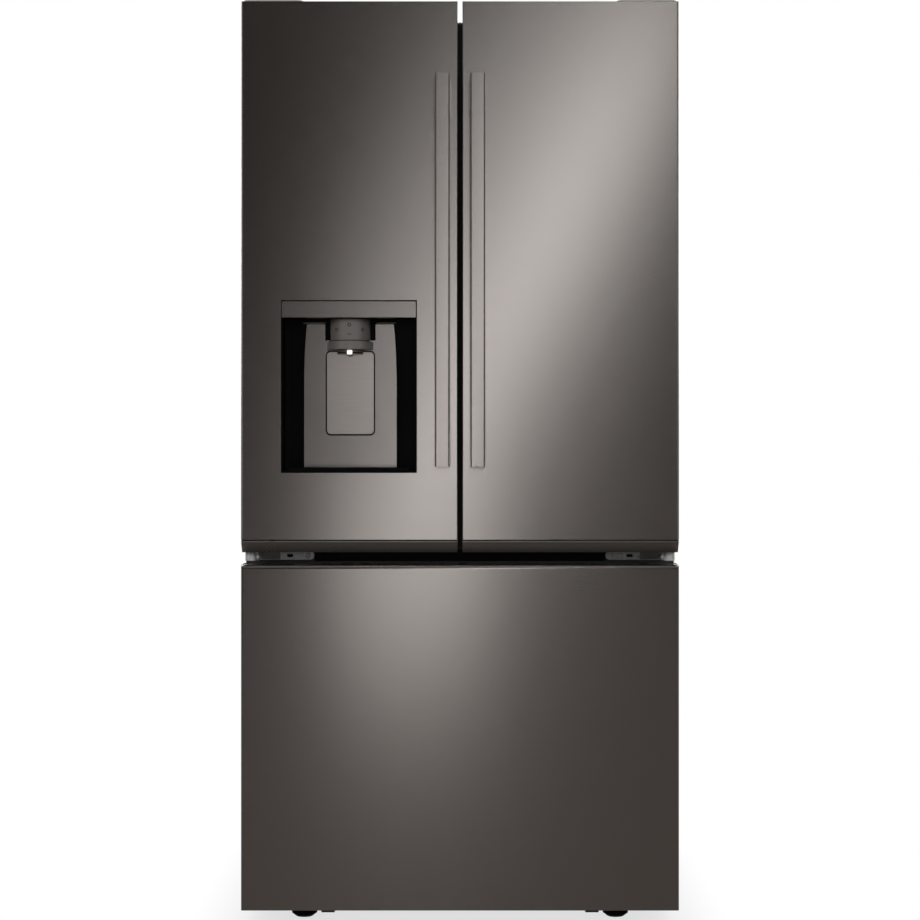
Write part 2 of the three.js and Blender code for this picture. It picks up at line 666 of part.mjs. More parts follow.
// Side view of the drawer front, drawn in by an inset.
function drawerProfile(inset, back) {
  const radius = DRAWER.edge - inset;
  const front = DOOR_FRONT + inset;
  const shape = new THREE.Shape();
  shape.moveTo(back, DRAWER.bottom + inset);
  shape.lineTo(back, DRAWER.top - inset);
  shape.absarc(front + radius, DRAWER.top - inset - radius, radius, Math.PI / 2, Math.PI);
  shape.lineTo(front, DRAWER.bottom + inset);
  return shape;
}

function drawerSkin() {
  const block = (inset, back) => {
    const width = [inset - HALF_WIDTH, HALF_WIDTH - inset];
    const corners = prismZ(
      roundedRect(width, [DOOR_FRONT + inset, DOOR_BACK + 60], 4 - inset / 2), [0, DRAWER.top + 5],
    );
    return prismX(drawerProfile(inset, back), width, 6).intersect(corners);
  };
  const topOpening = box(
    [SHEET - HALF_WIDTH, HALF_WIDTH - SHEET],
    [FINGER_POCKET.y[0], DOOR_BACK + 1],
    [DRAWER.top - 3, DRAWER.top + 1],
  );
  const belly = box(
    [SHEET - HALF_WIDTH, HALF_WIDTH - SHEET],
    [DOOR_FRONT + 14, DOOR_BACK + 1],
    [DRAWER.bottom - 1, DRAWER.bottom + 3],
  );
  return cut(block(0, DOOR_BACK), block(SHEET, DOOR_BACK + 10), topOpening, belly);
}

function drawerPanel() {
  const inset = SHEET + PLAY;
  const width = [inset - HALF_WIDTH, HALF_WIDTH - inset];
  const core = prismX(drawerProfile(inset + 0.2, DOOR_BACK), width, 6).intersect(
    prismZ(roundedRect(width, [DOOR_FRONT + inset, DOOR_BACK + 60], 3.6), [0, DRAWER.top + 5]),
  );
  const pocket = prismZ(
    roundedRect([-FINGER_POCKET.half, FINGER_POCKET.half], FINGER_POCKET.y, 10),
    [DRAWER.top - FINGER_POCKET.depth, DRAWER.top + 1],
  );
  const inner = prismY(roundedRect([-350, 350], [105, 655], 16), [DOOR_BACK - 2, -262]);
  return join(cut(core, pocket), inner);
}

// Carrier of the drawer: two side arms, front tabs against the panel and a rear cross bar.
function drawerFrame() {
  const front = -261.7;
  const arms = [-1, 1].flatMap((side) => {
    const span = (a, b) => [side * a, side * b].sort((p, q) => p - q);
    return [
      box(span(...SLIDE.arm), [front, SLIDE.rear - 10], SLIDE.z),
      box(span(338, SLIDE.arm[1]), [front, front + 2.5], [200, 310]),
    ];
  });
  const bar = box([-SLIDE.arm[1], SLIDE.arm[1]], [SLIDE.rear - 12, SLIDE.rear], SLIDE.z);
  return join(bar, ...arms);
}

function freezerBasket() {
  const tub = openBox([-BASKET.half, BASKET.half], BASKET.y, BASKET.z, BASKET.wall, 20);
  const flangeOutline = roundedRect([-351, 351], [BASKET.y[0] + 1, BASKET.y[1]], 20);
  const flange = prismZ(flangeOutline, [266, 272], 1);
  const keep = roundedRect(
    [BASKET.wall - BASKET.half, BASKET.half - BASKET.wall],
    [BASKET.y[0] + BASKET.wall, BASKET.y[1] - BASKET.wall], 17,
  );
  return join(tub, cut(flange, prismZ(keep, [260, 280], 1)));
}

function freezerTray() {
  return openBox([-TRAY.half, TRAY.half], TRAY.y, TRAY.z, TRAY.wall, 18);
}

function slideMiddle() {
  const x = [-SLIDE.middle[1], -SLIDE.middle[0]];
  const z = [SLIDE.z[0] - 3, SLIDE.z[1] + 3];
  const bar = box(x, [CASE_FRONT + 13, SLIDE.rear], z);
  const groove = box([x[1] - 3, x[1] + 1], [CASE_FRONT + 12, SLIDE.rear + 1], [z[0] + 6, z[1] - 6]);
  return cut(bar, groove);
}

// ---------- Assembly ----------

const refrigerator = new THREE.Group();
const leftSide = new THREE.Group();
const rightSide = new THREE.Group();
rightSide.scale.x = -1;
refrigerator.add(leftSide, rightSide);

// Pieces in the middle, or found once only.
refrigerator.add(
  piece('cabinet_shell', cabinetShell(), casePaint),
  piece('fresh_food_liner', freshFoodLiner(), linerWhite),
  piece('freezer_liner', freezerLiner(), linerWhite),
  piece('rear_cover', rearCover(), zincSteel),
  piece('compressor', compressor(), blackPaint),
  piece('condenser', finnedBlock([-330, -120], [270, 430], [68, 240], 8), finAluminium),
  piece('condenser_fan', condenserFan(), blackPlastic),
  piece('evaporator', finnedBlock([-300, 300], [222, 280], [300, 560], 10), finAluminium),
  piece('evaporator_cover', evaporatorCover(), linerWhite),
  piece('shelf_upper_left', shelf([-366, -3], -100, 1400), shelfGlass),
  piece('shelf_upper_right', shelf([3, 366], -170, 1400), shelfGlass),
  piece('shelf_lower', shelf([-366, 366], -170, 1180), shelfGlass),
  piece('crisper_cover', crisperCover(), shelfGlass),
  piece('freezer_drawer_skin', drawerSkin(), darkSteel),
  piece('freezer_drawer_panel', drawerPanel(), linerWhite),
  piece('freezer_drawer_gasket', sealRing([-386.5, 386.5], [72, 690], GASKET.width), sealRubber),
  piece('drawer_frame', drawerFrame(), zincSteel),
  piece('freezer_basket', freezerBasket(), clearPlastic),
  piece('freezer_tray', freezerTray(), clearPlastic),
);

// Pieces that each side has, mirrored.
for (const [side, group] of [['left', leftSide], ['right', rightSide]]) {
  group.add(
    piece(`top_hinge_${side}`, topHinge(), zincSteel),
    piece(`hinge_cover_${side}`, hingeCover(), darkPlastic),
    piece(`mid_hinge_${side}`, midHinge(), zincSteel),
    piece(`leveling_leg_${side}`, levelingLeg(), blackPlastic),
    piece(`front_roller_${side}`, roller(FRONT_ROLLER), blackPlastic),
    piece(`rear_roller_${side}`, roller(REAR_ROLLER), blackPlastic),
    piece(`slide_middle_${side}`, slideMiddle(), zincSteel),
    piece(`crisper_${side}`, crisper(), clearPlastic),
    piece(`${side}_door_bottom_cap`, doorBottomCap(), darkPlastic),
    piece(`${side}_door_gasket`, doorGasket(), sealRubber),
    piece(`${side}_handle`, handle(), darkSteel),
  );
}

// Left door: dispenser, ice compartment and sealing flap.
leftSide.add(
  piece('left_door_skin', cut(doorSkin(), dispenserOpening()), darkSteel),
  piece('left_door_panel', leftDoorPanel(), linerWhite),
  piece('left_bin_upper', doorBin([1090, 1190]), clearPlastic),
  piece('left_bin_lower', doorBin([850, 960]), clearPlastic),
  piece('ice_compartment_cover', iceCompartmentCover(), linerWhite),
  piece('mullion_flap', mullionFlap(), darkPlastic),
  piece('dispenser_housing', dispenserHousing(), blackPlastic),
  piece('dispenser_trim', dispenserTrim(), satinGrey),
  piece('dispenser_back_panel', dispenserBackPanel(), darkSteel),
  piece('dispenser_paddle', dispenserPaddle(), darkSteel),
  piece('dispenser_head', dispenserHead(), satinGrey),
  piece('dispenser_button', dispenserButton(), satinGrey),
  piece('drip_tray', dripTray(), blackPlastic),
);

// Right door: dairy compartment and two bins.
rightSide.add(
  piece('right_door_skin', doorSkin(), darkSteel),
  piece('right_door_panel', doorPanel(), linerWhite),
  piece('dairy_bin', doorBin([1450, 1550]), clearPlastic),
  piece('dairy_lid', dairyLid(), clearPlastic),
  piece('right_bin_upper', doorBin([1200, 1310]), clearPlastic),
  piece('right_bin_lower', doorBin([900, 1010]), clearPlastic),
);

export default refrigerator;
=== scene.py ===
"""French door refrigerator: looks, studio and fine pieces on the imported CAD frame. Metres, +Z up."""

import json
import math

import bmesh
import bpy
from mathutils import Matrix, Vector


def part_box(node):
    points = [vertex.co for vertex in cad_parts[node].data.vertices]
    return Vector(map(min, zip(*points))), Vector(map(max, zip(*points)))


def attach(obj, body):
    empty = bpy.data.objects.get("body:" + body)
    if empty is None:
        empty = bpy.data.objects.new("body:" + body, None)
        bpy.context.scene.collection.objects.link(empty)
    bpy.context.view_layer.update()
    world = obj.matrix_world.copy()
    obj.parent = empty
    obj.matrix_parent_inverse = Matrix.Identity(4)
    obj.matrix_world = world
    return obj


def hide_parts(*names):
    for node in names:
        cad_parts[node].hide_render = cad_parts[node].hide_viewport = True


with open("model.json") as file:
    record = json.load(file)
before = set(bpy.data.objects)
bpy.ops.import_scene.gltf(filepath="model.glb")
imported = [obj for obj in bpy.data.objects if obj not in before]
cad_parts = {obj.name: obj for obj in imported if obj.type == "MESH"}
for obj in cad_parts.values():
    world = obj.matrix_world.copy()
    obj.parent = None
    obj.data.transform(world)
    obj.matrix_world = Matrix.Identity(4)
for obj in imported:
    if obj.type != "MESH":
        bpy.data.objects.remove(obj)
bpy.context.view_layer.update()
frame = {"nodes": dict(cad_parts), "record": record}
nodes = frame["nodes"]
collection = bpy.context.scene.collection

MM = 0.001
CENTRE_HEIGHT = 0.894
CAMERA_BACK = 4.1
LENS_MM = 84.5
LIGHTS_BACK = 4.8
SHARP_ANGLE = math.radians(35)

door_low, door_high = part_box("left_door_skin")
case_low, case_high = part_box("cabinet_shell")


# ---------- Studio ----------


def aim(obj, place, target):
    obj.location = place
    obj.rotation_euler = (Vector(target) - Vector(place)).to_track_quat("-Z", "Y").to_euler()


def make_camera():
    camera = bpy.data.objects.new("camera", bpy.data.cameras.new("camera"))
    camera.data.sensor_width = 36
    camera.data.lens = LENS_MM
    collection.objects.link(camera)
    place = (0, door_low.y - CAMERA_BACK, CENTRE_HEIGHT)
    aim(camera, place, (0, 0, CENTRE_HEIGHT))
    bpy.context.scene.camera = camera


def make_light(name, place, target, size, watts, roll=0.0, mirrored_in_gloss=True):
    """An oval panel that the camera doesn't see; the roll is in degrees."""
    light = bpy.data.lights.new(name, "AREA")
    light.shape = "ELLIPSE"
    light.size, light.size_y = size
    light.energy = watts
    obj = bpy.data.objects.new(name, light)
    collection.objects.link(obj)
    aim(obj, place, target)
    obj.rotation_euler.rotate_axis("Z", math.radians(roll))
    obj.visible_camera = False
    obj.visible_glossy = mirrored_in_gloss


def by_camera_ray(tree, seen, unseen, output):
    """Shows one shader to the camera and another to every other ray."""
    mix = tree.nodes.new("ShaderNodeMixShader")
    path = tree.nodes.new("ShaderNodeLightPath")
    tree.links.new(path.outputs["Is Camera Ray"], mix.inputs["Fac"])
    tree.links.new(unseen, mix.inputs[1])
    tree.links.new(seen, mix.inputs[2])
    tree.links.new(mix.outputs["Shader"], output)


def make_world():
    world = bpy.data.worlds.new("studio")
    bpy.context.scene.world = world
    world.use_nodes = True
    tree = world.node_tree
    seen = tree.nodes["Background"]
    seen.inputs["Color"].default_value = (1, 1, 1, 1)
    room = tree.nodes.new("ShaderNodeBackground")
    room.inputs["Color"].default_value = (0.022, 0.019, 0.017, 1)
    output = tree.nodes["World Output"].inputs["Surface"]
    by_camera_ray(tree, seen.outputs["Background"], room.outputs["Background"], output)


def make_floor():
    mesh = bpy.data.meshes.new("floor")
    half = 30
    corners = [(-half, -half, 0), (half, -half, 0), (half, half, 0), (-half, half, 0)]
    mesh.from_pydata(corners, [], [(0, 1, 2, 3)])
    floor = bpy.data.objects.new("floor", mesh)
    collection.objects.link(floor)
    material = bpy.data.materials.new("pale_floor")
    material.use_nodes = True
    tree = material.node_tree
    tree.nodes.remove(tree.nodes["Principled BSDF"])
    # The floor's emission is darkened by ambient occlusion under and beside the fridge: a painted soft
    # contact shadow.
    painted_contact_shade = tree.nodes.new("ShaderNodeAmbientOcclusion")
    painted_contact_shade.inputs["Distance"].default_value = 0.12
    contact_shadow_tone = tree.nodes.new("ShaderNodeValToRGB")
    contact_shadow_tone.color_ramp.elements[0].color = (0.7, 0.7, 0.71, 1)
    contact_shadow_tone.color_ramp.elements[1].color = (1, 1, 1, 1)
    pale = tree.nodes.new("ShaderNodeEmission")
    tree.links.new(painted_contact_shade.outputs["AO"], contact_shadow_tone.inputs["Fac"])
    tree.links.new(contact_shadow_tone.outputs["Color"], pale.inputs["Color"])
    dim = tree.nodes.new("ShaderNodeEmission")
    dim.inputs["Color"].default_value = (0.11, 0.099, 0.092, 1)
    output = tree.nodes["Material Output"].inputs["Surface"]
    by_camera_ray(tree, pale.outputs["Emission"], dim.outputs["Emission"], output)
    mesh.materials.append(material)


def make_studio():
    bpy.context.scene.view_settings.view_transform = "Standard"
    make_camera()
    make_world()
    make_floor()
    front = door_low.y - LIGHTS_BACK
    make_light("key_strip", (0.4, front, 1.85), (0.4, door_low.y, 1.85), (0.3, 2.7), 5.2, roll=-29)
    make_light("soft_strip", (0.1, front, 1.95), (0.1, door_low.y, 1.95), (0.8, 2.4), 2.3, roll=-28)
    make_light("low_strip", (-0.2, front, 0.5), (-0.2, door_low.y, 0.5), (0.7, 0.95), 1.9, roll=-8)
    make_light("top_panel", (0, 0.6, 4.2), (0, 0.2, 0), (2.5, 2.5), 60)
    make_light("high_panel", (0, -2.2, 3.5), (0, door_low.y, 0.7), (2.4, 1.6), 3.5)
    for side in (-1, 1):
        make_light(f"glow_{side}", (side * 3.0, -3.8, 1.7), (0, door_low.y, 1.1), (2.2, 3.0), 8,
                   roll=side * 14)
        make_light(f"fill_{side}", (side * 3.2, -4.0, 2.2), (0, door_low.y, 1.1), (0.8, 1.4), 45,
                   mirrored_in_gloss=False)
        make_light(f"side_panel_{side}", (side * 3.5, 2.2, 2.2), (0, 0.2, 1.0), (1.6, 2.2), 60)
    make_light("rear_panel", (0, 4.6, 2.4), (0, 0, 1.0), (2.4, 2.0), 70)


# ---------- Materials ----------


def new_material(name, colour, roughness, metallic=0.0, **sockets):
    material = bpy.data.materials.new(name)
    material.use_nodes = True
    shader = material.node_tree.nodes["Principled BSDF"]
    shader.inputs["Base Color"].default_value = (*colour, 1)
    shader.inputs["Roughness"].default_value = roughness
    shader.inputs["Metallic"].default_value = metallic
    for socket, value in sockets.items():
        shader.inputs[socket.replace("_", " ")].default_value = value
    return material


def noise_of(material, scale, detail, stretch=(1, 1, 1)):
    """A noise over the surface in object space, in cells per metre, stretched along the axes."""
    tree = material.node_tree
    place = tree.nodes.new("ShaderNodeTexCoord")
    mapping = tree.nodes.new("ShaderNodeMapping")
    mapping.inputs["Scale"].default_value = stretch
    noise = tree.nodes.new("ShaderNodeTexNoise")
    noise.inputs["Scale"].default_value = scale
    noise.inputs["Detail"].default_value = detail
    tree.links.new(place.outputs["Object"], mapping.inputs["Vector"])
    tree.links.new(mapping.outputs["Vector"], noise.inputs["Vector"])
    return noise.outputs["Fac"]


def vary_colour(material, source, dark, light):
    """Blends the base colour between two tones."""
    tree = material.node_tree
    ramp = tree.nodes.new("ShaderNodeValToRGB")
    ramp.color_ramp.elements[0].position = 0.3
    ramp.color_ramp.elements[1].position = 0.7
    ramp.color_ramp.elements[0].color = (*dark, 1)
    ramp.color_ramp.elements[1].color = (*light, 1)
    tree.links.new(source, ramp.inputs["Fac"])
    tree.links.new(ramp.outputs["Color"], tree.nodes["Principled BSDF"].inputs["Base Color"])


def vary_roughness(material, source, low, high):
    tree = material.node_tree
    spread = tree.nodes.new("ShaderNodeMapRange")
    spread.inputs["From Min"].default_value = 0.3
    spread.inputs["From Max"].default_value = 0.7
    spread.inputs["To Min"].default_value = low
    spread.inputs["To Max"].default_value = high
    tree.links.new(source, spread.inputs["Value"])
    tree.links.new(spread.outputs["Result"], tree.nodes["Principled BSDF"].inputs["Roughness"])


def add_bump(material, source, height):
    """Raises the surface by up to a height in metres."""
    tree = material.node_tree
    bump = tree.nodes.new("ShaderNodeBump")
    bump.inputs["Strength"].default_value = 1.0
    bump.inputs["Distance"].default_value = height
    tree.links.new(source, bump.inputs["Height"])
    tree.links.new(bump.outputs["Normal"], tree.nodes["Principled BSDF"].inputs["Normal"])


def shade(colour, factor):
    return tuple(min(1.0, part * factor) for part in colour)


def brushed_steel(name, colour, roughness, upright=False):
    """Brushed metal; the grain runs level, or up and down when upright."""
    material = new_material(name, colour, roughness, 1.0)
    shader = material.node_tree.nodes["Principled BSDF"]
    shader.inputs["Anisotropic"].default_value = 0.7
    shader.inputs["Anisotropic Rotation"].default_value = 0.0 if upright else 0.25
    tangent = material.node_tree.nodes.new("ShaderNodeTangent")
    tangent.direction_type = "RADIAL"
    tangent.axis = "Z"
    material.node_tree.links.new(tangent.outputs["Tangent"], shader.inputs["Tangent"])
    stretch = (1, 1, 0.03) if upright else (0.03, 0.03, 1)
    grain = noise_of(material, 700, 4, stretch)
    vary_colour(material, grain, shade(colour, 0.95), shade(colour, 1.05))
    vary_roughness(material, grain, roughness - 0.02, roughness + 0.02)
    add_bump(material, grain, 0.000002)
    return material


def moulded_plastic(name, colour, roughness, grain_height=0.00002, **sockets):
    """Plastic with a fine moulded grain and a slight change of gloss."""
    material = new_material(name, colour, roughness, **sockets)
    cloud = noise_of(material, 9, 3)
    vary_roughness(material, cloud, roughness - 0.03, roughness + 0.03)
    vary_colour(material, cloud, shade(colour, 0.98), shade(colour, 1.01))
    add_bump(material, noise_of(material, 1600, 2), grain_height)
    return material


def door_panel_plastic():
    """White inner door plastic; the end caps and edges in front of the door's back are dark."""
    material = moulded_plastic("door_panel_plastic", WHITE, 0.28)
    tree = material.node_tree
    place = tree.nodes.new("ShaderNodeTexCoord")
    split = tree.nodes.new("ShaderNodeSeparateXYZ")
    depth = tree.nodes.new("ShaderNodeMath")
    depth.operation = "GREATER_THAN"
    depth.inputs[1].default_value = door_high.y - 0.5 * MM
    tones = tree.nodes.new("ShaderNodeMix")
    tones.data_type = "RGBA"
    tones.inputs["A"].default_value = (*DARK_GREY, 1)
    white = tree.nodes["Principled BSDF"].inputs["Base Color"].links[0].from_socket
    tree.links.new(place.outputs["Object"], split.inputs["Vector"])
    tree.links.new(split.outputs["Y"], depth.inputs[0])
    tree.links.new(depth.outputs["Value"], tones.inputs["Factor"])
    tree.links.new(white, tones.inputs["B"])
    tree.links.new(tones.outputs["Result"], tree.nodes["Principled BSDF"].inputs["Base Color"])
    return material


def painted_metal(name, colour, roughness, pebble, metallic=0.0):
    """Enamel with the pebbled grain that appliance cases have."""
    material = new_material(name, colour, roughness, metallic)
    cloud = noise_of(material, 3, 2)
    vary_colour(material, cloud, shade(colour, 0.9), shade(colour, 1.1))
    vary_roughness(material, cloud, roughness - 0.04, roughness + 0.04)
    add_bump(material, noise_of(material, 420, 2), pebble)
    return material


def zinc_plate(name, brightness, metallic):
    """Galvanised sheet with its patchy bloom."""
    material = new_material(name, shade((0.62, 0.63, 0.64), brightness), 0.32, metallic)
    patches = noise_of(material, 160, 4)
    dark, light = shade((0.52, 0.53, 0.55), brightness), shade((0.74, 0.74, 0.72), brightness)
    vary_colour(material, patches, dark, light)
    vary_roughness(material, patches, 0.24, 0.42)
    add_bump(material, noise_of(material, 900, 3), 0.00001)
    return material


def rubber():
    colour = (0.012, 0.012, 0.012)
    material = new_material("seal_rubber", colour, 0.75)
    cloud = noise_of(material, 60, 3)
    vary_roughness(material, cloud, 0.65, 0.85)
    vary_colour(material, cloud, shade(colour, 0.8), shade(colour, 1.5))
    add_bump(material, noise_of(material, 900, 2), 0.00003)
    return material


def see_through(name, tint, roughness, ior):
    material = new_material(name, tint, roughness, IOR=ior, Transmission_Weight=0.92)
    cloud = noise_of(material, 14, 2)
    vary_roughness(material, cloud, roughness, roughness + 0.05)
    vary_colour(material, cloud, shade(tint, 0.97), tint)
    add_bump(material, noise_of(material, 25, 2), 0.00002)
    return material


def glowing(name, colour, strength):
    material = moulded_plastic(name, colour, 0.3)
    shader = material.node_tree.nodes["Principled BSDF"]
    shader.inputs["Emission Color"].default_value = (*colour, 1)
    shader.inputs["Emission Strength"].default_value = strength
    return material


STEEL = (0.44, 0.408, 0.388)
WHITE = (0.78, 0.8, 0.81)
DARK_GREY = (0.03, 0.028, 0.027)
looks = {
    "dark_steel": brushed_steel("dark_steel", STEEL, 0.205),
    # The handle and paddle steels are lightened copies of the door steel, a painted highlight; the column
    # steel is a darkened copy, painted shade.
    "lit_handle_steel": brushed_steel("lit_handle_steel", shade(STEEL, 1.12), 0.24),
    "shaded_column_steel": brushed_steel("shaded_column_steel", shade(STEEL, 0.86), 0.25),
    "lit_paddle_steel": brushed_steel("lit_paddle_steel", shade(STEEL, 1.45), 0.3),
    "case_paint": painted_metal("case_paint", (0.062, 0.06, 0.06), 0.42, 0.00012),
    "liner_white": moulded_plastic("liner_white", WHITE, 0.28),
    "door_panel_plastic": door_panel_plastic(),
    "dark_plastic": moulded_plastic("dark_plastic", DARK_GREY, 0.42),
    "cap_grey": moulded_plastic("cap_grey", (0.3, 0.275, 0.26), 0.3, 0.00001, Metallic=0.8),
    "black_plastic": moulded_plastic("black_plastic", (0.0024, 0.0021, 0.0021), 0.4, 0.00001,
                                     Specular_IOR_Level=0.1),
    "seal_rubber": rubber(),
    "zinc_steel": zinc_plate("zinc_steel", 1.0, 0.6),
    # The middle hinges take a brightened copy of the zinc: a painted highlight.
    "lit_hinge_zinc": zinc_plate("lit_hinge_zinc", 1.3, 0.2),
    "satin_grey": painted_metal("satin_grey", (0.3, 0.28, 0.265), 0.42, 0.000004, metallic=0.35),
    "shelf_glass": see_through("shelf_glass", (0.86, 0.95, 0.93), 0.02, 1.5),
    "clear_plastic": see_through("clear_plastic", (0.93, 0.96, 0.97), 0.08, 1.49),
    "fin_aluminium": brushed_steel("fin_aluminium", (0.75, 0.76, 0.77), 0.35, upright=True),
    "black_paint": painted_metal("black_paint", (0.012, 0.012, 0.013), 0.35, 0.00004),
    # The water nozzle's glowing material is painted light: the nozzle is no lamp.
    "lamp": glowing("lamp", (1.0, 0.98, 0.95), 0.9),
    "cabin_lamp": glowing("cabin_lamp", (1.0, 0.98, 0.95), 9),
    "icon_print": moulded_plastic("icon_print", (0.05, 0.048, 0.046), 0.5),
}


# ---------- CAD nodes ----------


def soften(node, width, look):
    """Gives a CAD node its material, clean edges and a small round on them."""
    obj = nodes[node]
    obj.data.materials.clear()
    obj.data.materials.append(looks[look])
    for face in obj.data.polygons:
        face.use_smooth = True
    weld = obj.modifiers.new("weld", "WELD")
    weld.merge_threshold = 0.00002
    flat = obj.modifiers.new("flat", "DECIMATE")
    flat.decimate_type = "DISSOLVE"
    flat.angle_limit = math.radians(1)
    bevel = obj.modifiers.new("edge", "BEVEL")
    bevel.width = width
    bevel.segments = 3
    bevel.limit_method = "ANGLE"
    bevel.angle_limit = SHARP_ANGLE
    normals = obj.modifiers.new("normals", "WEIGHTED_NORMAL")
    normals.keep_sharp = True


slots = {part["node"]: part["material_slot"] for part in frame["record"]["subparts"]}
own_looks = {
    "left_handle": "lit_handle_steel",
    "right_handle": "lit_handle_steel",
    "left_door_panel": "door_panel_plastic",
    "right_door_panel": "door_panel_plastic",
    "freezer_drawer_panel": "door_panel_plastic",
    "left_door_bottom_cap": "cap_grey",
    "right_door_bottom_cap": "cap_grey",
    "dispenser_trim": "shaded_column_steel",
    "dispenser_back_panel": "shaded_column_steel",
    "dispenser_paddle": "lit_paddle_steel",
    "mid_hinge_left": "lit_hinge_zinc",
    "mid_hinge_right": "lit_hinge_zinc",
}
EDGE_MM = 0.6
own_edges = {
    "dispenser_back_panel": 1.6,
    "left_handle": 1.0,
    "right_handle": 1.0,
    "left_door_skin": 0.3,
    "right_door_skin": 0.3,
    "left_door_bottom_cap": 0.25,
    "right_door_bottom_cap": 0.25,
}
for name in nodes:
    soften(name, own_edges.get(name, EDGE_MM) * MM, own_looks.get(name, slots[name]))


# ---------- Shapes, all in millimetres ----------


def limits(node):
    """The node's limits at rest on x, y and z."""
    low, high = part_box(node)
    return [(low[axis] / MM, high[axis] / MM) for axis in range(3)]


def shrunk(span, by):
    """The span made shorter at both ends, or longer where the amount is negative."""
    return (span[0] + by, span[1] - by)


def rounded(u, v, radius, steps=5):
    """Points of a rectangle with round corners."""
    corners = (
        (u[1] - radius, v[0] + radius, -90), (u[1] - radius, v[1] - radius, 0),
        (u[0] + radius, v[1] - radius, 90), (u[0] + radius, v[0] + radius, 180),
    )
    points = []
    for across, along, start in corners:
        for step in range(steps + 1):
            turn = math.radians(start + 90 * step / steps)
            points.append((across + radius * math.cos(turn), along + radius * math.sin(turn)))
    return points


def circle(centre, radius, sides=24):
    turns = [2 * math.pi * side / sides for side in range(sides)]
    return [(centre[0] + radius * math.cos(t), centre[1] + radius * math.sin(t)) for t in turns]


def lift(axis, outline, level):
    """Places a flat outline at a level on an axis."""
    if axis == "X":
        return [(level, u, v) for u, v in outline]
    if axis == "Y":
        return [(u, level, v) for u, v in outline]
    return [(u, v, level) for u, v in outline]


def add_skin(bm, loops, wrap=False):
    """Skins a row of equal loops; it is closed by caps, or by joining the last loop to the first."""
    rows = [[bm.verts.new(point) for point in loop] for loop in loops]
    pairs = list(zip(rows, rows[1:]))
    if wrap:
        pairs.append((rows[-1], rows[0]))
    for low, high in pairs:
        for here in range(len(low)):
            after = (here + 1) % len(low)
            bm.faces.new((low[here], low[after], high[after], high[here]))
    if not wrap:
        bm.faces.new(reversed(rows[0]))
        bm.faces.new(rows[-1])


def add_slab(bm, axis, u, v, w, radius, steps=4):
    """A plate with round corners, from one level to another on the axis."""
    outline = rounded(u, v, radius, steps)
    add_skin(bm, [lift(axis, outline, level) for level in w])


def add_frame(bm, axis, u, v, w, width, radius):
    """A rectangular ring with round corners."""
    outer = rounded(u, v, radius)
    inner = rounded(shrunk(u, width), shrunk(v, width), max(radius - width, 0.3))
    section = ((outer, w[0]), (outer, w[1]), (inner, w[1]), (inner, w[0]))
    add_skin(bm, [lift(axis, outline, level) for outline, level in section], wrap=True)


def add_turned(bm, axis, centre, profile, sides=24):
    """A turned piece; the profile lists radius and level along the axis."""
    add_skin(bm, [lift(axis, circle(centre, radius, sides), level) for radius, level in profile])


def add_tub(bm, u, v, w, wall, radius):
    """A thin tub, open at the top, with walls that lean out slightly."""
    lean = 0.006 * (w[1] - w[0])
    rim = w[1] - 2
    section = ((lean, w[0]), (0, rim), (0, w[1]), (wall, w[1]), (wall, rim), (lean + wall, w[0] + wall))
    loops = []
    for inset, level in section:
        outline = rounded(shrunk(u, inset), shrunk(v, inset), max(radius - inset, 0.5))
        loops.append(lift("Z", outline, level))
    add_skin(bm, loops)


def add_tube(bm, points, radius, sides=10):
    """A round wire or pipe along straight runs, with mitred corners."""
    path = [Vector(point) for point in points]
    loops = []
    side = (path[1] - path[0]).orthogonal().normalized()
    for here, point in enumerate(path):
        before = (point - path[here - 1]).normalized() if here else (path[1] - point).normalized()
        after = (path[here + 1] - point).normalized() if here + 1 < len(path) else before
        along = (before + after).normalized()
        side = (side - along * side.dot(along)).normalized()
        other = along.cross(side)
        turns = [2 * math.pi * step / sides for step in range(sides)]
        loops.append([point + radius * (math.cos(t) * side + math.sin(t) * other) for t in turns])
    add_skin(bm, loops)


def add_screw(bm, axis, centre, seat, way, radius=4.0):
    """A pan head screw with a round drive recess, on a face at the seat, facing one way on the axis."""
    head = [(radius, 0), (radius, 0.35), (0.9 * radius, 0.5), (0.45 * radius, 0.62)]
    drive = [(0.42 * radius, 0.6), (0.4 * radius, 0.2)]
    profile = [(size, seat + way * radius * level) for size, level in head + drive]
    add_turned(bm, axis, centre, profile, 18)


def mirrored(bm):
    """A copy of the shape, mirrored from left to right."""
    other = bm.copy()
    bmesh.ops.scale(other, vec=(-1, 1, 1), verts=other.verts)
    return other


def make_piece(name, bm, body, look, edge=0.4):
    """Turns a shape into a piece that rides on a body."""
    bmesh.ops.scale(bm, vec=(MM, MM, MM), verts=bm.verts)
    bmesh.ops.recalc_face_normals(bm, faces=bm.faces)
    mesh = bpy.data.meshes.new(name)
    bm.to_mesh(mesh)
    bm.free()
    for face in mesh.polygons:
        face.use_smooth = True
    mesh.materials.append(looks[look])
    obj = bpy.data.objects.new(name, mesh)
    collection.objects.link(obj)
    if edge:
        bevel = obj.modifiers.new("edge", "BEVEL")
        bevel.width = edge * MM
        bevel.segments = 2
        bevel.limit_method = "ANGLE"
        bevel.angle_limit = SHARP_ANGLE
    obj.modifiers.new("normals", "WEIGHTED_NORMAL").keep_sharp = True
    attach(obj, body)
    return obj


def make_pair(name, build, body, look, edge=0.4):
    """The same piece on the left and, mirrored, on the right; a body name may hold the side."""
    left = bmesh.new()
    build(left)
    right = mirrored(left)
    for side, bm in (("left", left), ("right", right)):
        make_piece(f"{name}_{side}", bm, body.format(side=side), look, edge)


def make_one(name, build, body, look, edge=0.4):
    bm = bmesh.new()
    build(bm)
    make_piece(name, bm, body, look, edge)


# ---------- Dispenser pieces ----------

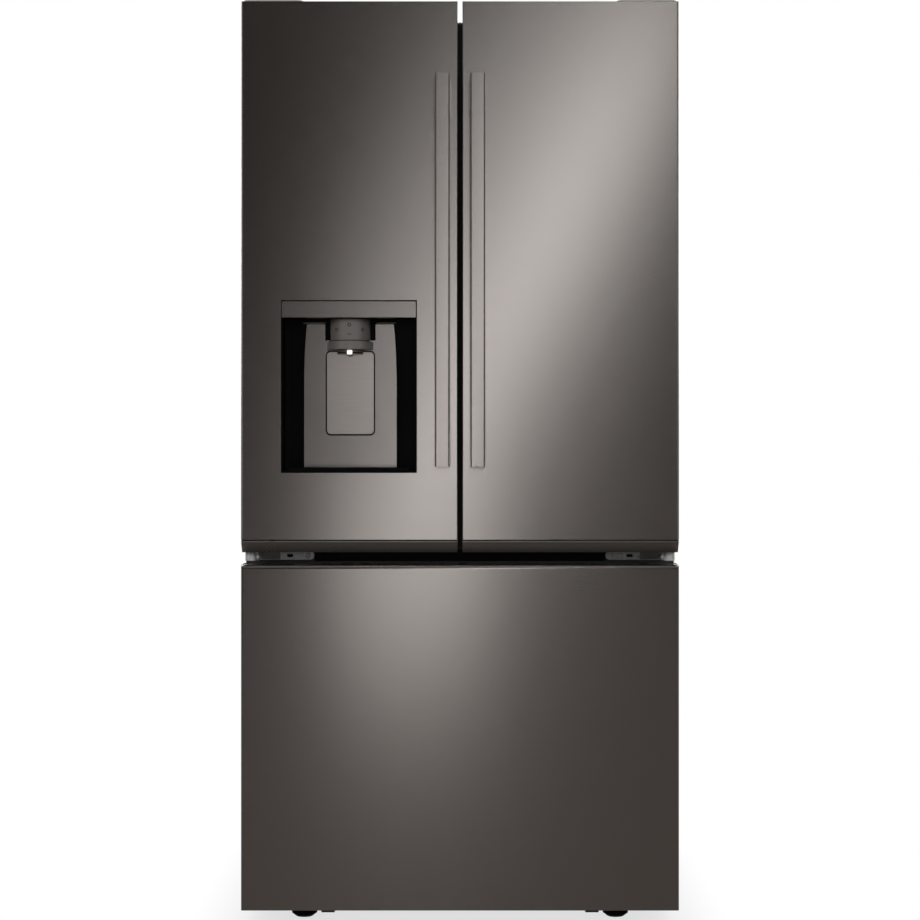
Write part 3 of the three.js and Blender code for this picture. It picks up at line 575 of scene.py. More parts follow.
DOOR_X, DOOR_Y, DOOR_Z = limits("left_door_skin")
HEAD_X, HEAD_Y, HEAD_Z = limits("dispenser_head")
SPOUT_X = (HEAD_X[0] + HEAD_X[1]) / 2
HEAD_RADIUS = (HEAD_X[1] - HEAD_X[0]) / 2
HEAD_CENTRE_Y = HEAD_Y[0] + HEAD_RADIUS
COLUMN_X, COLUMN_Y, COLUMN_Z = limits("dispenser_back_panel")
TRAY_X, TRAY_Y, TRAY_Z = limits("drip_tray")


def on_head(across, level, out):
    """A point on the round front of the dispenser head."""
    turn = across / HEAD_RADIUS
    radius = HEAD_RADIUS + out
    return (SPOUT_X + radius * math.sin(turn), HEAD_CENTRE_Y - radius * math.cos(turn), level)


def add_symbol(bm, outer, inner):
    """A thin outline on the head, between two flat outlines."""
    rows = ((outer, -0.1), (outer, 0.25), (inner, 0.25), (inner, -0.1))
    add_skin(bm, [[on_head(u, v, out) for u, v in outline] for outline, out in rows], wrap=True)


def symbols(bm):
    """Three plain symbols and a dash: a square, a ring and a diamond."""
    height = HEAD_Z[0] + 50
    square = rounded((-30, -24), (height - 3, height + 3), 0.8)
    square_hole = rounded((-28.6, -25.4), (height - 2, height + 2), 0.4)
    add_symbol(bm, square, square_hole)
    add_symbol(bm, circle((0, height + 9), 3.6), circle((0, height + 9), 2.0))
    add_symbol(bm, circle((27, height), 4.2, 4), circle((27, height), 2.2, 4))
    dash = rounded((-4, 4), (height - 9.6, height - 8.2), 0.6)
    add_skin(bm, [[on_head(u, v, out) for u, v in dash] for out in (-0.1, 0.25)])


def water_nozzle(bm):
    """Small nozzle under the front of the head; its glow is painted light, for the nozzle is no lamp."""
    front = HEAD_CENTRE_Y - 26.5
    add_slab(bm, "Y", (SPOUT_X - 5, SPOUT_X + 5), (HEAD_Z[0] + 3.2, HEAD_Z[0] + 11), (front, front + 5), 1.2)


def column_ledges(bm):
    """Thin ledges over the two arms of the column."""
    for u in ((COLUMN_X[0] - 2, SPOUT_X - 47), (SPOUT_X + 51, COLUMN_X[1] - 1)):
        y = (COLUMN_Y[0] - 5, COLUMN_Y[1] - 1)
        add_slab(bm, "Z", u, y, (COLUMN_Z[1] + 1.2, COLUMN_Z[1] + 3.4), 2.5)


def front_arc(radius):
    """Points of a half circle round the front of the head."""
    turns = [math.radians(180 + 7.5 * step) for step in range(25)]
    return [(SPOUT_X + radius * math.cos(t), HEAD_CENTRE_Y + radius * math.sin(t)) for t in turns]


def spout_collar(bm):
    """A rib round the spout and a wider one just inside the button's ring."""
    for radius, low, high in ((25.4, 1.4, 3.4), (37.8, 9.6, 11.2)):
        outline = front_arc(radius) + front_arc(radius - 2)[::-1]
        add_skin(bm, [lift("Z", outline, HEAD_Z[0] + 4 + level) for level in (low, high)])


def drip_grille(bm):
    """Border and bars over the drip tray."""
    top = TRAY_Z[1]
    add_frame(bm, "Z", shrunk(TRAY_X, 2), shrunk(TRAY_Y, 2), (top, top + 1.4), 3, 4)
    bars = 22
    pitch = (TRAY_X[1] - TRAY_X[0] - 12) / bars
    for bar in range(bars):
        start = TRAY_X[0] + 6 + (bar + 0.3) * pitch
        add_slab(bm, "Z", (start, start + 0.4 * pitch), shrunk(TRAY_Y, 4.5), (top, top + 1.1), 0.6, 2)


make_one("dispenser_symbols", symbols, "left_door", "icon_print", 0)
make_one("water_nozzle", water_nozzle, "left_door", "lamp")
make_one("column_ledges", column_ledges, "left_door", "satin_grey")
make_one("spout_collar", spout_collar, "left_door", "black_plastic", 0.2)
make_one("drip_grille", drip_grille, "left_door", "black_plastic", 0.2)


# ---------- Between doors and drawer ----------

MID_X, MID_Y, MID_Z = limits("mid_hinge_left")
CASE_X = (case_low.x / MM, case_high.x / MM)
REAR_SHEET = 1.5
CASE_Y = (case_low.y / MM, limits("fresh_food_liner")[1][1] + REAR_SHEET)
CASE_TOP = case_high.z / MM
PLATE_FRONT = CASE_Y[0] - 3.3
SLOT_CENTRE = MID_X[1] - 47


def add_edge_strip(bm, lip_depth):
    """Soft strip on the inner edge of the left door; its lip reaches just past the middle."""
    z = (DOOR_Z[0] + 1, CASE_TOP - 20)
    edge, front = DOOR_X[1], DOOR_Y[0]
    add_slab(bm, "Z", (edge + 0.05, edge + 1.6), (front + 8, front + 26), z, 0.6)
    add_slab(bm, "Z", (edge + 1, 0.6), (front + lip_depth, front + lip_depth + 2.5), z, 0.6)


def make_edge_strips():
    """The lips of the two doors lie one behind the other and so close the gap."""
    left, right = bmesh.new(), bmesh.new()
    add_edge_strip(left, 11)
    add_edge_strip(right, 17)
    for side, bm in (("left", left), ("right", mirrored(right))):
        make_piece(f"door_edge_strip_{side}", bm, f"{side}_door", "seal_rubber", 0.2)


def cap_shadow_line(bm):
    """Black strip that fills the groove between the steel face and the bottom cap."""
    y, top = (DOOR_Y[0] + 1.2, DOOR_Y[0] + 4.8), DOOR_Z[0] - 0.7
    add_slab(bm, "X", y, (top - 1.4, top), (DOOR_X[0] + 1.5, DOOR_X[1] - 1), 0.4, 2)


def hinge_plate_cover(bm):
    """Satin cover on the front of the bracket, with a thin raised rib."""
    u, bottom = (MID_X[0] + 26, MID_X[0] + 63), MID_Z[0]
    add_slab(bm, "Y", u, (bottom + 1, bottom + 16.5), (PLATE_FRONT - 2.4, PLATE_FRONT - 0.1), 2)
    add_slab(bm, "Y", shrunk(u, 3), (bottom + 4, bottom + 6), (PLATE_FRONT - 3.2, PLATE_FRONT - 2.2), 0.8)


def hinge_slot_rim(bm):
    """Raised rim of the slot for the adjusting screw, and a plate beside it; both take the brightened zinc,
    a painted highlight.
    """
    u, z = (SLOT_CENTRE - 8, SLOT_CENTRE + 8), (MID_Z[0] + 3.4, MID_Z[0] + 13)
    add_frame(bm, "Y", u, z, (PLATE_FRONT - 3.4, PLATE_FRONT - 1), 2, 4.5)
    u = (SLOT_CENTRE + 12, SLOT_CENTRE + 31)
    add_slab(bm, "Y", u, (z[0] + 2, z[1] - 1), (PLATE_FRONT - 3.2, PLATE_FRONT - 1), 2)


def hinge_slot(bm):
    # A black plate at the back of the slot's rim: painted shade for the slot's opening.
    u, z = (SLOT_CENTRE - 6, SLOT_CENTRE + 6), (MID_Z[0] + 5.4, MID_Z[0] + 11)
    add_slab(bm, "Y", u, z, (PLATE_FRONT - 2, PLATE_FRONT - 1), 2.6)


def hinge_screws(bm):
    """Screw of the bracket, and the collar round the foot of the door's pin."""
    add_screw(bm, "Y", (MID_X[1] - 12, MID_Z[0] + 8.5), PLATE_FRONT - 2.6, -1, 5)
    pin, seat = (MID_X[0] + 9.4, MID_Y[0] + 10), MID_Z[0] + 16
    add_turned(bm, "Z", pin, [(8, seat + 0.2), (8.6, seat + 0.6), (8.6, seat + 1.4), (7, seat + 1.6)])


make_edge_strips()
make_pair("cap_shadow_line", cap_shadow_line, "{side}_door", "black_plastic", 0.1)
make_pair("hinge_plate_cover", hinge_plate_cover, "cabinet", "satin_grey")
make_pair("hinge_slot_rim", hinge_slot_rim, "cabinet", "lit_hinge_zinc")
make_pair("hinge_slot", hinge_slot, "cabinet", "black_plastic")
make_pair("hinge_screws", hinge_screws, "cabinet", "lit_hinge_zinc", 0.2)


# ---------- Case outside ----------

COVER_EDGE = -limits("hinge_cover_left")[0][1]
REAR_Z = limits("rear_cover")[2]
RIB_TOP = 1500
GLAND_X, INLET_X, FITTING_Z = 351, -350, 239.5
LEG_X, LEG_Y, LEG_Z = limits("leveling_leg_left")
LEG_CENTRE = ((LEG_X[0] + LEG_X[1]) / 2, (LEG_Y[0] + LEG_Y[1]) / 2)


def top_trim(bm):
    """Moulded strip along the front of the case top, between the hinge covers."""
    half = COVER_EDGE - 3
    front = CASE_Y[0] + 3
    add_slab(bm, "X", (front, front + 30), (CASE_TOP + 0.1, CASE_TOP + 2.4), (-half, half), 1.1)
    add_slab(bm, "X", (front + 28, front + 62), (CASE_TOP + 0.1, CASE_TOP + 3), (-half, half), 1.2)
    for clip in range(-4, 5):
        x = clip * half / 4.6
        add_slab(bm, "X", (front + 6, front + 50), (CASE_TOP + 1, CASE_TOP + 5), (x - 1.2, x + 1.2), 1)


def top_screws(bm):
    for x in (-0.8, -0.27, 0.27, 0.8):
        add_screw(bm, "Z", (x * COVER_EDGE, CASE_Y[0] + 56), CASE_TOP + 3, 1, 4.2)
    for x in (-0.9, 0.9):
        for y in (CASE_Y[0] + 250, CASE_Y[1] - 30):
            add_screw(bm, "Z", (x * CASE_X[1], y), CASE_TOP, 1, 4.2)


def rear_panel_ribs(bm):
    """Three long pressed fields that stiffen the rear sheet, and a band above the machine space."""
    back = CASE_Y[1]
    for centre in (-245, 0, 245):
        for inset, depth in ((0, 1.6), (9, 3.2)):
            u = shrunk((centre - 95, centre + 95), inset)
            z = shrunk((REAR_Z[1] + 70, RIB_TOP), inset)
            add_slab(bm, "Y", u, z, (back - 0.5, back + depth), 26 - inset, 8)
    band = (REAR_Z[1] + 22, REAR_Z[1] + 44)
    add_slab(bm, "Y", shrunk(CASE_X, 20), band, (back - 0.5, back + 2.4), 9, 6)


def rear_edge_flanges(bm):
    """Folded edges of the side and top panels that lap over the rear sheet."""
    y = (CASE_Y[1] - 0.3, CASE_Y[1] + 1.2)
    for side in (-1, 1):
        u = sorted((side * (CASE_X[1] - 14), side * (CASE_X[1] - 0.4)))
        add_slab(bm, "Y", u, (60, CASE_TOP - 4), y, 1)
    add_slab(bm, "Y", shrunk(CASE_X, 14), (CASE_TOP - 16, CASE_TOP - 2), y, 1)


def rear_screws(bm):
    back = CASE_Y[1]
    for x in (CASE_X[0] + 7, CASE_X[1] - 7):
        for z in range(120, 1721, 200):
            add_screw(bm, "Y", (x, z), back + 1.2, 1, 4)
    for x in (-366, -180, 0, 180, 366):
        for z in (REAR_Z[0] + 5, REAR_Z[1] - 5):
            add_screw(bm, "Y", (x, z), back - 0.3, 1, 4)
    for x in (-250, -90, 90, 250):
        add_screw(bm, "Y", (x, CASE_TOP - 9), back + 1.2, 1, 4)


def cover_louvres(bm):
    """Hoods over the slots of the machine cover."""
    back = CASE_Y[1]
    for x in (-330, 20):
        for row in range(5):
            z = 90 + row * 32
            hood = [(back - 0.6, z + 12), (back + 5, z + 5), (back + 4.2, z + 3.6), (back - 1.6, z + 10)]
            add_skin(bm, [lift("X", hood, level) for level in (x, x + 310)])


def rear_fittings(bm):
    """Nut of the cord gland, and collar and thread of the water inlet."""
    seat = CASE_Y[1] - 0.2
    for x, radius, sides in ((GLAND_X, 15, 6), (INLET_X, 14, 24)):
        collar = ((radius, 0), (radius, 3.4), (radius - 1.6, 4.6), (radius - 3.6, 4.6))
        add_turned(bm, "Y", (x, FITTING_Z), [(size, seat + out) for size, out in collar], sides)
    thread = ((9.4, 4), (9.4, 5), (8.6, 5.5), (9.4, 6), (8.6, 6.6), (5, 6.8))
    add_turned(bm, "Y", (INLET_X, FITTING_Z), [(size, seat + out) for size, out in thread])


def leg_collars(bm):
    """Hexagon of the levelling leg and the plate that it screws into."""
    top = LEG_Z[1]
    add_turned(bm, "Z", LEG_CENTRE, [(11, 19), (12, 20), (12, 27), (11, 28)], 6)
    add_slab(bm, "Z", (LEG_X[0] - 2, LEG_X[1] + 2), (LEG_Y[0] - 2, LEG_Y[1] + 2), (top - 3, top - 0.2), 6)


def leg_treads(bm):
    """Ribs round the levelling disc, for turning it by hand."""
    radius = (LEG_X[1] - LEG_X[0]) / 2
    for rib in range(24):
        turn = 2 * math.pi * rib / 24
        x, y = LEG_CENTRE[0] + radius * math.cos(turn), LEG_CENTRE[1] + radius * math.sin(turn)
        add_turned(bm, "Z", (x, y), [(0.9, 6), (1.3, 6.8), (1.3, 13.2), (0.9, 14)], 8)


make_one("top_trim", top_trim, "cabinet", "dark_plastic")
make_one("top_screws", top_screws, "cabinet", "zinc_steel", 0.2)
make_one("rear_panel_ribs", rear_panel_ribs, "cabinet", "case_paint", 1.2)
make_one("rear_edge_flanges", rear_edge_flanges, "cabinet", "case_paint", 0.3)
make_one("rear_screws", rear_screws, "cabinet", "zinc_steel", 0.2)
make_one("cover_louvres", cover_louvres, "cabinet", "zinc_steel", 0.2)
make_one("rear_fittings", rear_fittings, "cabinet", "black_plastic", 0.3)
make_pair("leg_collar", leg_collars, "cabinet", "zinc_steel", 0.3)
make_pair("leg_tread", leg_treads, "cabinet", "black_plastic", 0)


# ---------- Seals ----------

SEAL_PROFILE = (
    (0.6, 0.0), (0, 1.7), (0, 3.3), (2.2, 4.9), (2.2, 6.9), (0, 8.7), (0, 12.1), (1.4, 13.4), (5, 13.4),
    (5.6, 12.8), (9.4, 12.8), (10, 13.4), (13.6, 13.4), (15, 12.1), (15, 8.7), (12.8, 6.9), (12.8, 4.9),
    (15, 3.3), (15, 1.7), (14.4, 0.0),
)


def add_seal(bm, x, z, back):
    """Bellows seal round a rectangle: inset and depth of each point of its section."""
    loops = []
    for inset, depth in SEAL_PROFILE:
        outline = rounded(shrunk(x, inset), shrunk(z, inset), 17 - inset)
        loops.append(lift("Y", outline, back + depth))
    add_skin(bm, loops, wrap=True)


def make_seals():
    """The door seals end short of the middle, where a flat strip goes on beside them."""
    x, y, z = limits("left_door_gasket")
    left = bmesh.new()
    add_seal(left, (x[0], -14), z, y[0])
    add_slab(left, "Z", (-15, x[1]), (y[0] + 0.2, y[0] + 2.4), (z[0] + 8, z[1] - 8), 0.6)
    right = mirrored(left)
    for side, bm in (("left", left), ("right", right)):
        seal = make_piece(f"{side}_door_seal", bm, f"{side}_door", "seal_rubber", 0)
        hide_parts(f"{side}_door_gasket")
    x, y, z = limits("freezer_drawer_gasket")
    bm = bmesh.new()
    add_seal(bm, x, z, y[0])
    seal = make_piece("freezer_drawer_seal", bm, "freezer_drawer", "seal_rubber", 0)
    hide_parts("freezer_drawer_gasket")


make_seals()


# ---------- Fresh food compartment ----------

CAVITY_HALF = 371
FRESH_TOP = 1693
FRESH_REAR = 360
SHELF_THICKNESS = 16
SHELF_REAR = 330
TRACK_CENTRES = (-360.5, -8.5, 8.5, 360.5)
TRACK_Z = (1050, 1640)


def shelf_brackets(bm, x, front, bottom):
    """Two steel arms that hook into the tracks on the rear wall."""
    rear = FRESH_REAR - 2
    side_view = [
        (front + 60, bottom + 2), (front + 60, bottom - 4), (300, bottom - 26), (rear, bottom - 26),
        (rear, bottom + 14), (320, bottom + 14), (320, bottom + 2),
    ]
    for start in (x[0] + 4, x[1] - 7):
        add_skin(bm, [lift("X", side_view, level) for level in (start, start + 3)])


def make_shelf(name):
    """White rim, glass and steel front trim, and two brackets where the shelf hangs on the tracks."""
    x, y, (_, top) = limits(name)
    hangs = name != "crisper_cover"
    if hangs:
        y = (y[0], SHELF_REAR)
    rim = bmesh.new()
    add_frame(rim, "Z", x, y, (top - SHELF_THICKNESS + 1, top - 1.2), 13, 8)
    add_frame(rim, "Z", shrunk(x, 1), shrunk(y, 1), (top - 3, top), 4.5, 7)
    piece = make_piece(f"{name}_rim", rim, "cabinet", "liner_white", 0.5)
    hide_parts(name)
    glass = bmesh.new()
    add_slab(glass, "Z", shrunk(x, 9), shrunk(y, 9), (top - 7.5, top - 3.4), 5)
    make_piece(f"{name}_glass", glass, "cabinet", "shelf_glass", 0.5)
    trim = bmesh.new()
    front = (y[0] - 1.2, y[0] + 1.5)
    add_slab(trim, "X", front, (top - SHELF_THICKNESS + 2, top - 1.5), shrunk(x, 6), 1)
    make_piece(f"{name}_front_trim", trim, "cabinet", "lit_handle_steel", 0.3)
    if hangs:
        arms = bmesh.new()
        shelf_brackets(arms, x, y[0], top - SHELF_THICKNESS)
        make_piece(f"{name}_brackets", arms, "cabinet", "zinc_steel", 0.4)


def shelf_tracks(bm):
    """Upright tracks on the rear wall, with a slot for each shelf height."""
    rear = FRESH_REAR
    for x in TRACK_CENTRES:
        for start in (-4.4, 2.4):
            add_slab(bm, "Y", (x + start, x + start + 2), TRACK_Z, (rear - 1.7, rear - 0.1), 0.6, 2)
        for step in range(24):
            z = TRACK_Z[0] + step * 25
            add_slab(bm, "Y", (x - 3, x + 3), (z, z + 10), (rear - 1.5, rear - 0.1), 0.6, 2)


def air_duct(bm):
    """Three raised fields in the middle of the rear wall, between the shelves."""
    rear = FRESH_REAR
    for z in ((1000, 1140), (1200, 1362), (1428, 1660)):
        add_slab(bm, "Y", (-84, 84), z, (rear - 8, rear - 0.1), 12, 8)
        add_slab(bm, "Y", (-70, 70), shrunk(z, 12), (rear - 13, rear - 4), 10, 8)


def duct_vents(bm):
    """Rows of dark plates where the air slots are, on the raised fields: painted shade for the slot
    openings.
    """
    rear = FRESH_REAR
    for low in (1030, 1240, 1480, 1580):
        for row in range(4):
            z = low + row * 13
            for u in ((-56, -6), (6, 56)):
                add_slab(bm, "Y", u, (z, z + 6), (rear - 13.5, rear - 12.6), 2.6)


def ceiling_light(bm):
    """Ribbed lens of the lamp on the ceiling."""
    top = FRESH_TOP
    add_slab(bm, "Z", (-150, 150), (-150, -70), (top - 9, top - 0.2), 14, 8)
    for rib in range(9):
        y = -142 + rib * 8
        add_slab(bm, "X", (y, y + 3), (top - 10.2, top - 8), (-140, 140), 1, 2)


def control_panel(bm):
    """Touch panel on the ceiling, with a row of raised pads and nothing written on it."""
    top = FRESH_TOP
    add_slab(bm, "Z", (-95, 95), (-240, -196), (top - 5, top - 0.2), 8, 8)
    for pad in range(5):
        add_slab(bm, "Z", (-80 + pad * 34, -56 + pad * 34), (-228, -208), (top - 5.8, top - 4.6), 5)


def crisper_rails(bm):
    """Ledges on the side wall, one over the crisper and one halfway down beside it."""
    y, top = shrunk(limits("crisper_cover")[1], 5), limits("crisper_left")[2][1]
    for z in ((top + 1.5, top + 7.6), (top - 118, top - 114)):
        add_slab(bm, "Y", (-CAVITY_HALF + 0.1, -CAVITY_HALF + 8.6), z, y, 1.5)


def crisper_trim(bm):
    """Finger rail and ribs on the front of a crisper."""
    x, y, z = limits("crisper_left")
    add_slab(bm, "X", (y[0] - 1.4, y[0] + 0.4), (z[1] - 12.6, z[1] - 1.6), shrunk(x, 78), 0.8)
    for rib in range(13):
        start = x[0] + 24 + rib * 25
        add_slab(bm, "Z", (start, start + 2), (y[0] + 9.4, y[0] + 10.4), (z[0] + 20, z[1] - 42), 0.4, 2)


def humidity_slider(bm):
    x, y, z = limits("crisper_cover")
    add_slab(bm, "X", (y[0] - 1.8, y[0] - 0.6), (z[1] - 11, z[1] - 6), (-230, -140), 0.5)
    add_slab(bm, "X", (y[0] - 4.6, y[0] - 1), (z[1] - 12.4, z[1] - 4.6), (-196, -178), 1.6)


for shelf in ("shelf_upper_left", "shelf_upper_right", "shelf_lower", "crisper_cover"):
    make_shelf(shelf)
make_one("shelf_tracks", shelf_tracks, "cabinet", "zinc_steel", 0.2)
make_one("air_duct", air_duct, "cabinet", "liner_white", 1.0)
make_one("duct_vents", duct_vents, "cabinet", "dark_plastic", 0.2)
make_one("ceiling_light", ceiling_light, "cabinet", "cabin_lamp", 0.4)
make_one("control_panel", control_panel, "cabinet", "dark_plastic", 0.4)
make_pair("crisper_rails", crisper_rails, "cabinet", "liner_white")
make_pair("crisper_trim", crisper_trim, "crisper_{side}", "liner_white", 0.2)
make_pair("humidity_slider", humidity_slider, "cabinet", "satin_grey", 0.3)


# ---------- Door insides ----------

BINS = {
    "left_bin_upper": "left_door", "left_bin_lower": "left_door", "dairy_bin": "right_door",
    "right_bin_upper": "right_door", "right_bin_lower": "right_door",
}


def bin_trim(node):
    """Builder of a bin's front bar and its two end grips."""
    x, y, z = limits(node)

    def build(bm):
        add_slab(bm, "X", (y[1] - 0.3, y[1] + 1.1), (z[1] - 10.5, z[1] - 1.5), shrunk(x, 10), 0.6)
        for end in (x[0], x[1] - 3):
            add_slab(bm, "X", shrunk(y, 6), (z[1] - 22, z[1] - 6), (end - 1.6, end + 4.6), 3)

    return build


def bin_ribs(node):
    """Builder of the upright ribs on a bin's front."""
    x, y, z = limits(node)

    def build(bm):
        for rib in range(11):
            start = x[0] + 18 + rib * (x[1] - x[0] - 38) / 10
            add_slab(bm, "Z", (start, start + 2), (y[1] - 0.3, y[1] + 0.8), (z[0] + 8, z[1] - 18), 0.4, 2)

    return build


ICE_X, ICE_Y, ICE_Z = limits("ice_compartment_cover")
DIKE_X, DIKE_Z = (-358, -60), (782, 1678)
DIKE_CREST = limits("right_door_panel")[1][1]


def ice_bucket(bm):
    """Bucket of the ice compartment, with a grip along its rear edge."""
    u, v = shrunk(ICE_X, 22), (DOOR_Y[1] + 12, ICE_Y[0] - 7)
    add_tub(bm, u, v, (ICE_Z[0] + 20, ICE_Z[0] + 262), 2.4, 8)
    add_slab(bm, "X", (v[1] - 1, v[1] + 3), (ICE_Z[0] + 246, ICE_Z[0] + 258), shrunk(u, 60), 1.2)


def ice_maker(bm):
    """Ice mould with its cells, the motor box at its end and the arm that feels the ice in the bucket."""
    u, v = (ICE_X[0] + 26, ICE_X[1] - 52), (DOOR_Y[1] + 14, ICE_Y[0] - 14)
    z = (ICE_Z[0] + 340, ICE_Z[0] + 382)
    add_tub(bm, u, v, z, 2, 6)
    cells = 7
    for cell in range(1, cells):
        x = u[0] + cell * (u[1] - u[0]) / cells
        add_slab(bm, "X", shrunk(v, 2), (z[0] + 4, z[1] - 6), (x - 1, x + 1), 2)
    add_slab(bm, "X", v, (z[0] - 24, z[1] + 8), (u[1] + 2, u[1] + 28), 6)
    low, start, end = z[0] - 60, u[1] + 8, u[0] + 30
    arm = [(start, z[0] - 4), (start, low), (end, low), (end, z[0] - 2)]
    add_tube(bm, lift("Y", arm, v[1] - 4), 1.6)


def ice_cover_face(bm):
    """Two raised borders, one inside the other, on the face of the cover."""
    u, z, face = (ICE_X[0] + 16, ICE_X[1] - 38), shrunk(ICE_Z, 18), ICE_Y[1]
    add_frame(bm, "Y", u, z, (face - 0.4, face + 1.4), 5, 14)
    add_frame(bm, "Y", shrunk(u, 14), shrunk(z, 14), (face - 0.4, face + 0.8), 2, 8)


def ice_cover_latch(bm):
    """Latch at half the cover's height, in its own frame."""
    middle, face = (ICE_Z[0] + ICE_Z[1]) / 2, ICE_Y[1]
    u, z = (ICE_X[1] - 25, ICE_X[1] - 9), (middle - 29, middle + 29)
    add_frame(bm, "Y", u, z, (face - 7.6, face + 0.8), 2, 3)
    add_slab(bm, "Y", shrunk(u, 4), shrunk(z, 5), (face - 7.8, face - 2), 3)


def ice_cover_seal(bm):
    add_frame(bm, "Y", shrunk(ICE_X, 3), shrunk(ICE_Z, 3), (ICE_Y[0] - 0.9, ICE_Y[0] + 0.3), 7, 8)


def dike_bead(bm):
    """Moulded bead along the crest of the raised frame round the bin space."""
    add_frame(bm, "Y", DIKE_X, DIKE_Z, (DIKE_CREST - 0.3, DIKE_CREST + 1), 3.6, 12)


for node, body in BINS.items():
    make_one(f"{node}_trim", bin_trim(node), body, "lit_handle_steel", 0.2)
    make_one(f"{node}_ribs", bin_ribs(node), body, "clear_plastic", 0)
make_pair("dike_bead", dike_bead, "{side}_door", "liner_white", 0.4)
make_one("ice_bucket", ice_bucket, "left_door", "clear_plastic", 0.2)
make_one("ice_maker", ice_maker, "left_door", "satin_grey", 0.3)
make_one("ice_cover_face", ice_cover_face, "ice_cover", "liner_white", 0.4)
make_one("ice_cover_latch", ice_cover_latch, "ice_cover", "satin_grey", 0.3)
make_one("ice_cover_seal", ice_cover_seal, "ice_cover", "seal_rubber", 0.2)


# ---------- Freezer ----------

BASKET_X = (-335, 335)
BASKET_Y, BASKET_Z = limits("freezer_basket")[1:]
FREEZER_TRAY_X, FREEZER_TRAY_Y, FREEZER_TRAY_Z = limits("freezer_tray")
FAN_CENTRE = (0, 475)
FREEZER_TOP = 672


def basket_ribs(bm):
    """Upright ribs on the front of the basket, and its rim."""
    front, z = BASKET_Y[0], shrunk(BASKET_Z, 14)
    for rib in range(25):
        x = -312 + rib * 26
        add_slab(bm, "Z", (x - 1.2, x + 1.2), (front - 1, front + 0.4), z, 0.4, 2)
    rim = (BASKET_Z[1] - 5, BASKET_Z[1] + 0.8)
    add_frame(bm, "Z", shrunk(BASKET_X, -1.5), shrunk(BASKET_Y, -1.5), rim, 5.2, 20)


def tray_grip(bm):
    """Rim of the freezer tray and the grip on its front."""
    front, top = FREEZER_TRAY_Y[0], FREEZER_TRAY_Z[1]
    u, v = shrunk(FREEZER_TRAY_X, -1.4), shrunk(FREEZER_TRAY_Y, -1.4)
    add_frame(bm, "Z", u, v, (top - 5, top + 0.8), 4.6, 18)
    add_slab(bm, "X", (front - 6, front - 1), (top - 16, top - 1), (-110, 110), 2)


def fan_grille(bm):
    """Rings and spokes in front of the evaporator fan."""
    y = limits("evaporator_cover")[1][0]
    for radius in (18, 30, 42, 54):
        section = ((radius, y), (radius, y - 1.6), (radius - 2.4, y - 1.6), (radius - 2.4, y))
        add_skin(bm, [lift("Y", circle(FAN_CENTRE, size, 40), level) for size, level in section], wrap=True)
    for spoke in range(12):
        turn = math.radians(30 * spoke)
        ends = [(FAN_CENTRE[0] + r * math.cos(turn), FAN_CENTRE[1] + r * math.sin(turn)) for r in (8, 53)]
        add_tube(bm, lift("Y", ends, y - 0.9), 0.9, 8)
    add_turned(bm, "Y", FAN_CENTRE, [(9, y), (9, y - 1.4), (7, y - 1.9)])


def freezer_light(bm):
    """Ribbed lens of the freezer's lamp."""
    top = FREEZER_TOP
    add_slab(bm, "Z", (-60, 60), (-180, -130), (top - 7, top - 0.2), 10, 8)
    for rib in range(5):
        y = -174 + rib * 9
        add_slab(bm, "X", (y, y + 3), (top - 8, top - 6), (-54, 54), 0.9, 2)


make_one("basket_ribs", basket_ribs, "freezer_drawer", "clear_plastic", 0)
make_one("tray_grip", tray_grip, "tray", "liner_white", 0.3)
make_one("fan_grille", fan_grille, "cabinet", "liner_white", 0)
make_one("freezer_light", freezer_light, "cabinet", "cabin_lamp", 0.3)


# ---------- Black pieces at the front that paint the shade in the gaps ---


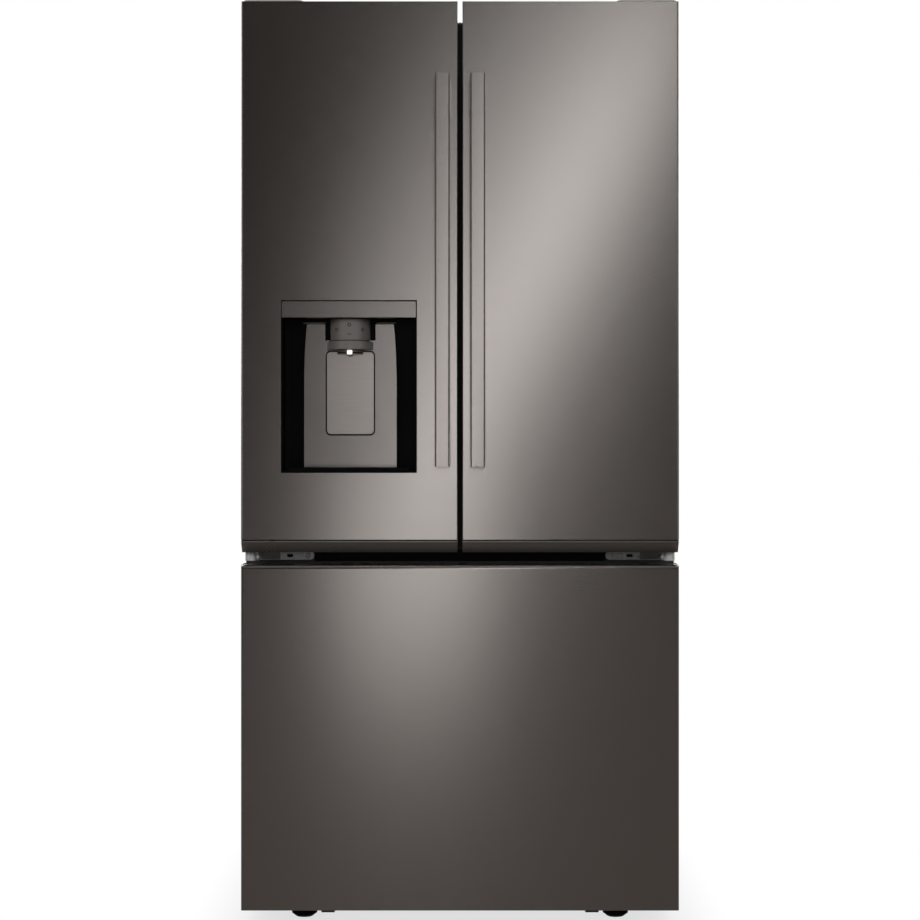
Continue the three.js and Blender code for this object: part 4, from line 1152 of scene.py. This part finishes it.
def middle_rail_shade_sheet(bm):
    """Black sheet over the case rail between the doors and the drawer, with a step at each end; it paints
    the gap's shade black.
    """
    front, bottom = CASE_Y[0], MID_Z[0]
    z = (bottom - 2.5, bottom + 20.5)
    add_slab(bm, "Y", (MID_X[1] + 1, -MID_X[1] - 1), z, (front - 2.4, front - 0.1), 2)
    for side in (-1, 1):
        u = sorted((side * (MID_X[1] + 1), side * (MID_X[1] + 14)))
        add_slab(bm, "Y", u, (bottom, bottom + 18), (front - 3, front - 2), 1)


def paddle_gap_shade_rim(bm):
    """Black rim in the gap round the paddle: painted shade that widens the gap's dark outline."""
    paddle_x, _, paddle_z = limits("dispenser_paddle")
    half = (paddle_x[1] - paddle_x[0]) / 2 - 1.4
    z = (paddle_z[0] - 3.1, paddle_z[1] + 2.8)
    add_frame(bm, "Y", (SPOUT_X - half, SPOUT_X + half), z, (COLUMN_Y[0] - 0.5, COLUMN_Y[0] + 5), 2.2, 10)


make_one("middle_rail_shade_sheet", middle_rail_shade_sheet, "cabinet", "black_plastic", 0.3)
make_one("paddle_gap_shade_rim", paddle_gap_shade_rim, "left_door", "black_plastic", 0.2)


# ---------- Machine space ----------

SHROUD_X, SHROUD_Y, SHROUD_Z = (-90, -84), (272, 428), (68, 242)


def refrigerant_pipes(bm):
    """Two pipes from the compressor across to the condenser, and the suction pipe at its side."""
    wide = [(180, 215), (180, 250), (172, 255), (-96, 255), (-104, 248), (-104, 236)]
    add_tube(bm, lift("Y", wide, 330), 4)
    narrow = [(250, 215), (250, 244), (242, 250), (-140, 250), (-148, 244)]
    add_tube(bm, lift("Y", narrow, 372), 3)
    suction = [
        (296, 350, 120), (316, 350, 120), (322, 350, 126), (322, 350, 238), (322, 344, 244),
        (322, 262, 244),
    ]
    add_tube(bm, suction, 4)


def fan_shroud(bm):
    """Frame between the condenser and its fan, with three bars across."""
    add_frame(bm, "X", SHROUD_Y, SHROUD_Z, SHROUD_X, 8, 12)
    for z in (100, 155, 210):
        add_slab(bm, "Y", (SHROUD_X[0] - 2, SHROUD_X[0] + 2), (z - 2, z + 2), shrunk(SHROUD_Y, 4), 1)


make_one("refrigerant_pipes", refrigerant_pipes, "cabinet", "zinc_steel", 0)
make_one("fan_shroud", fan_shroud, "cabinet", "black_plastic", 0.3)


make_studio()
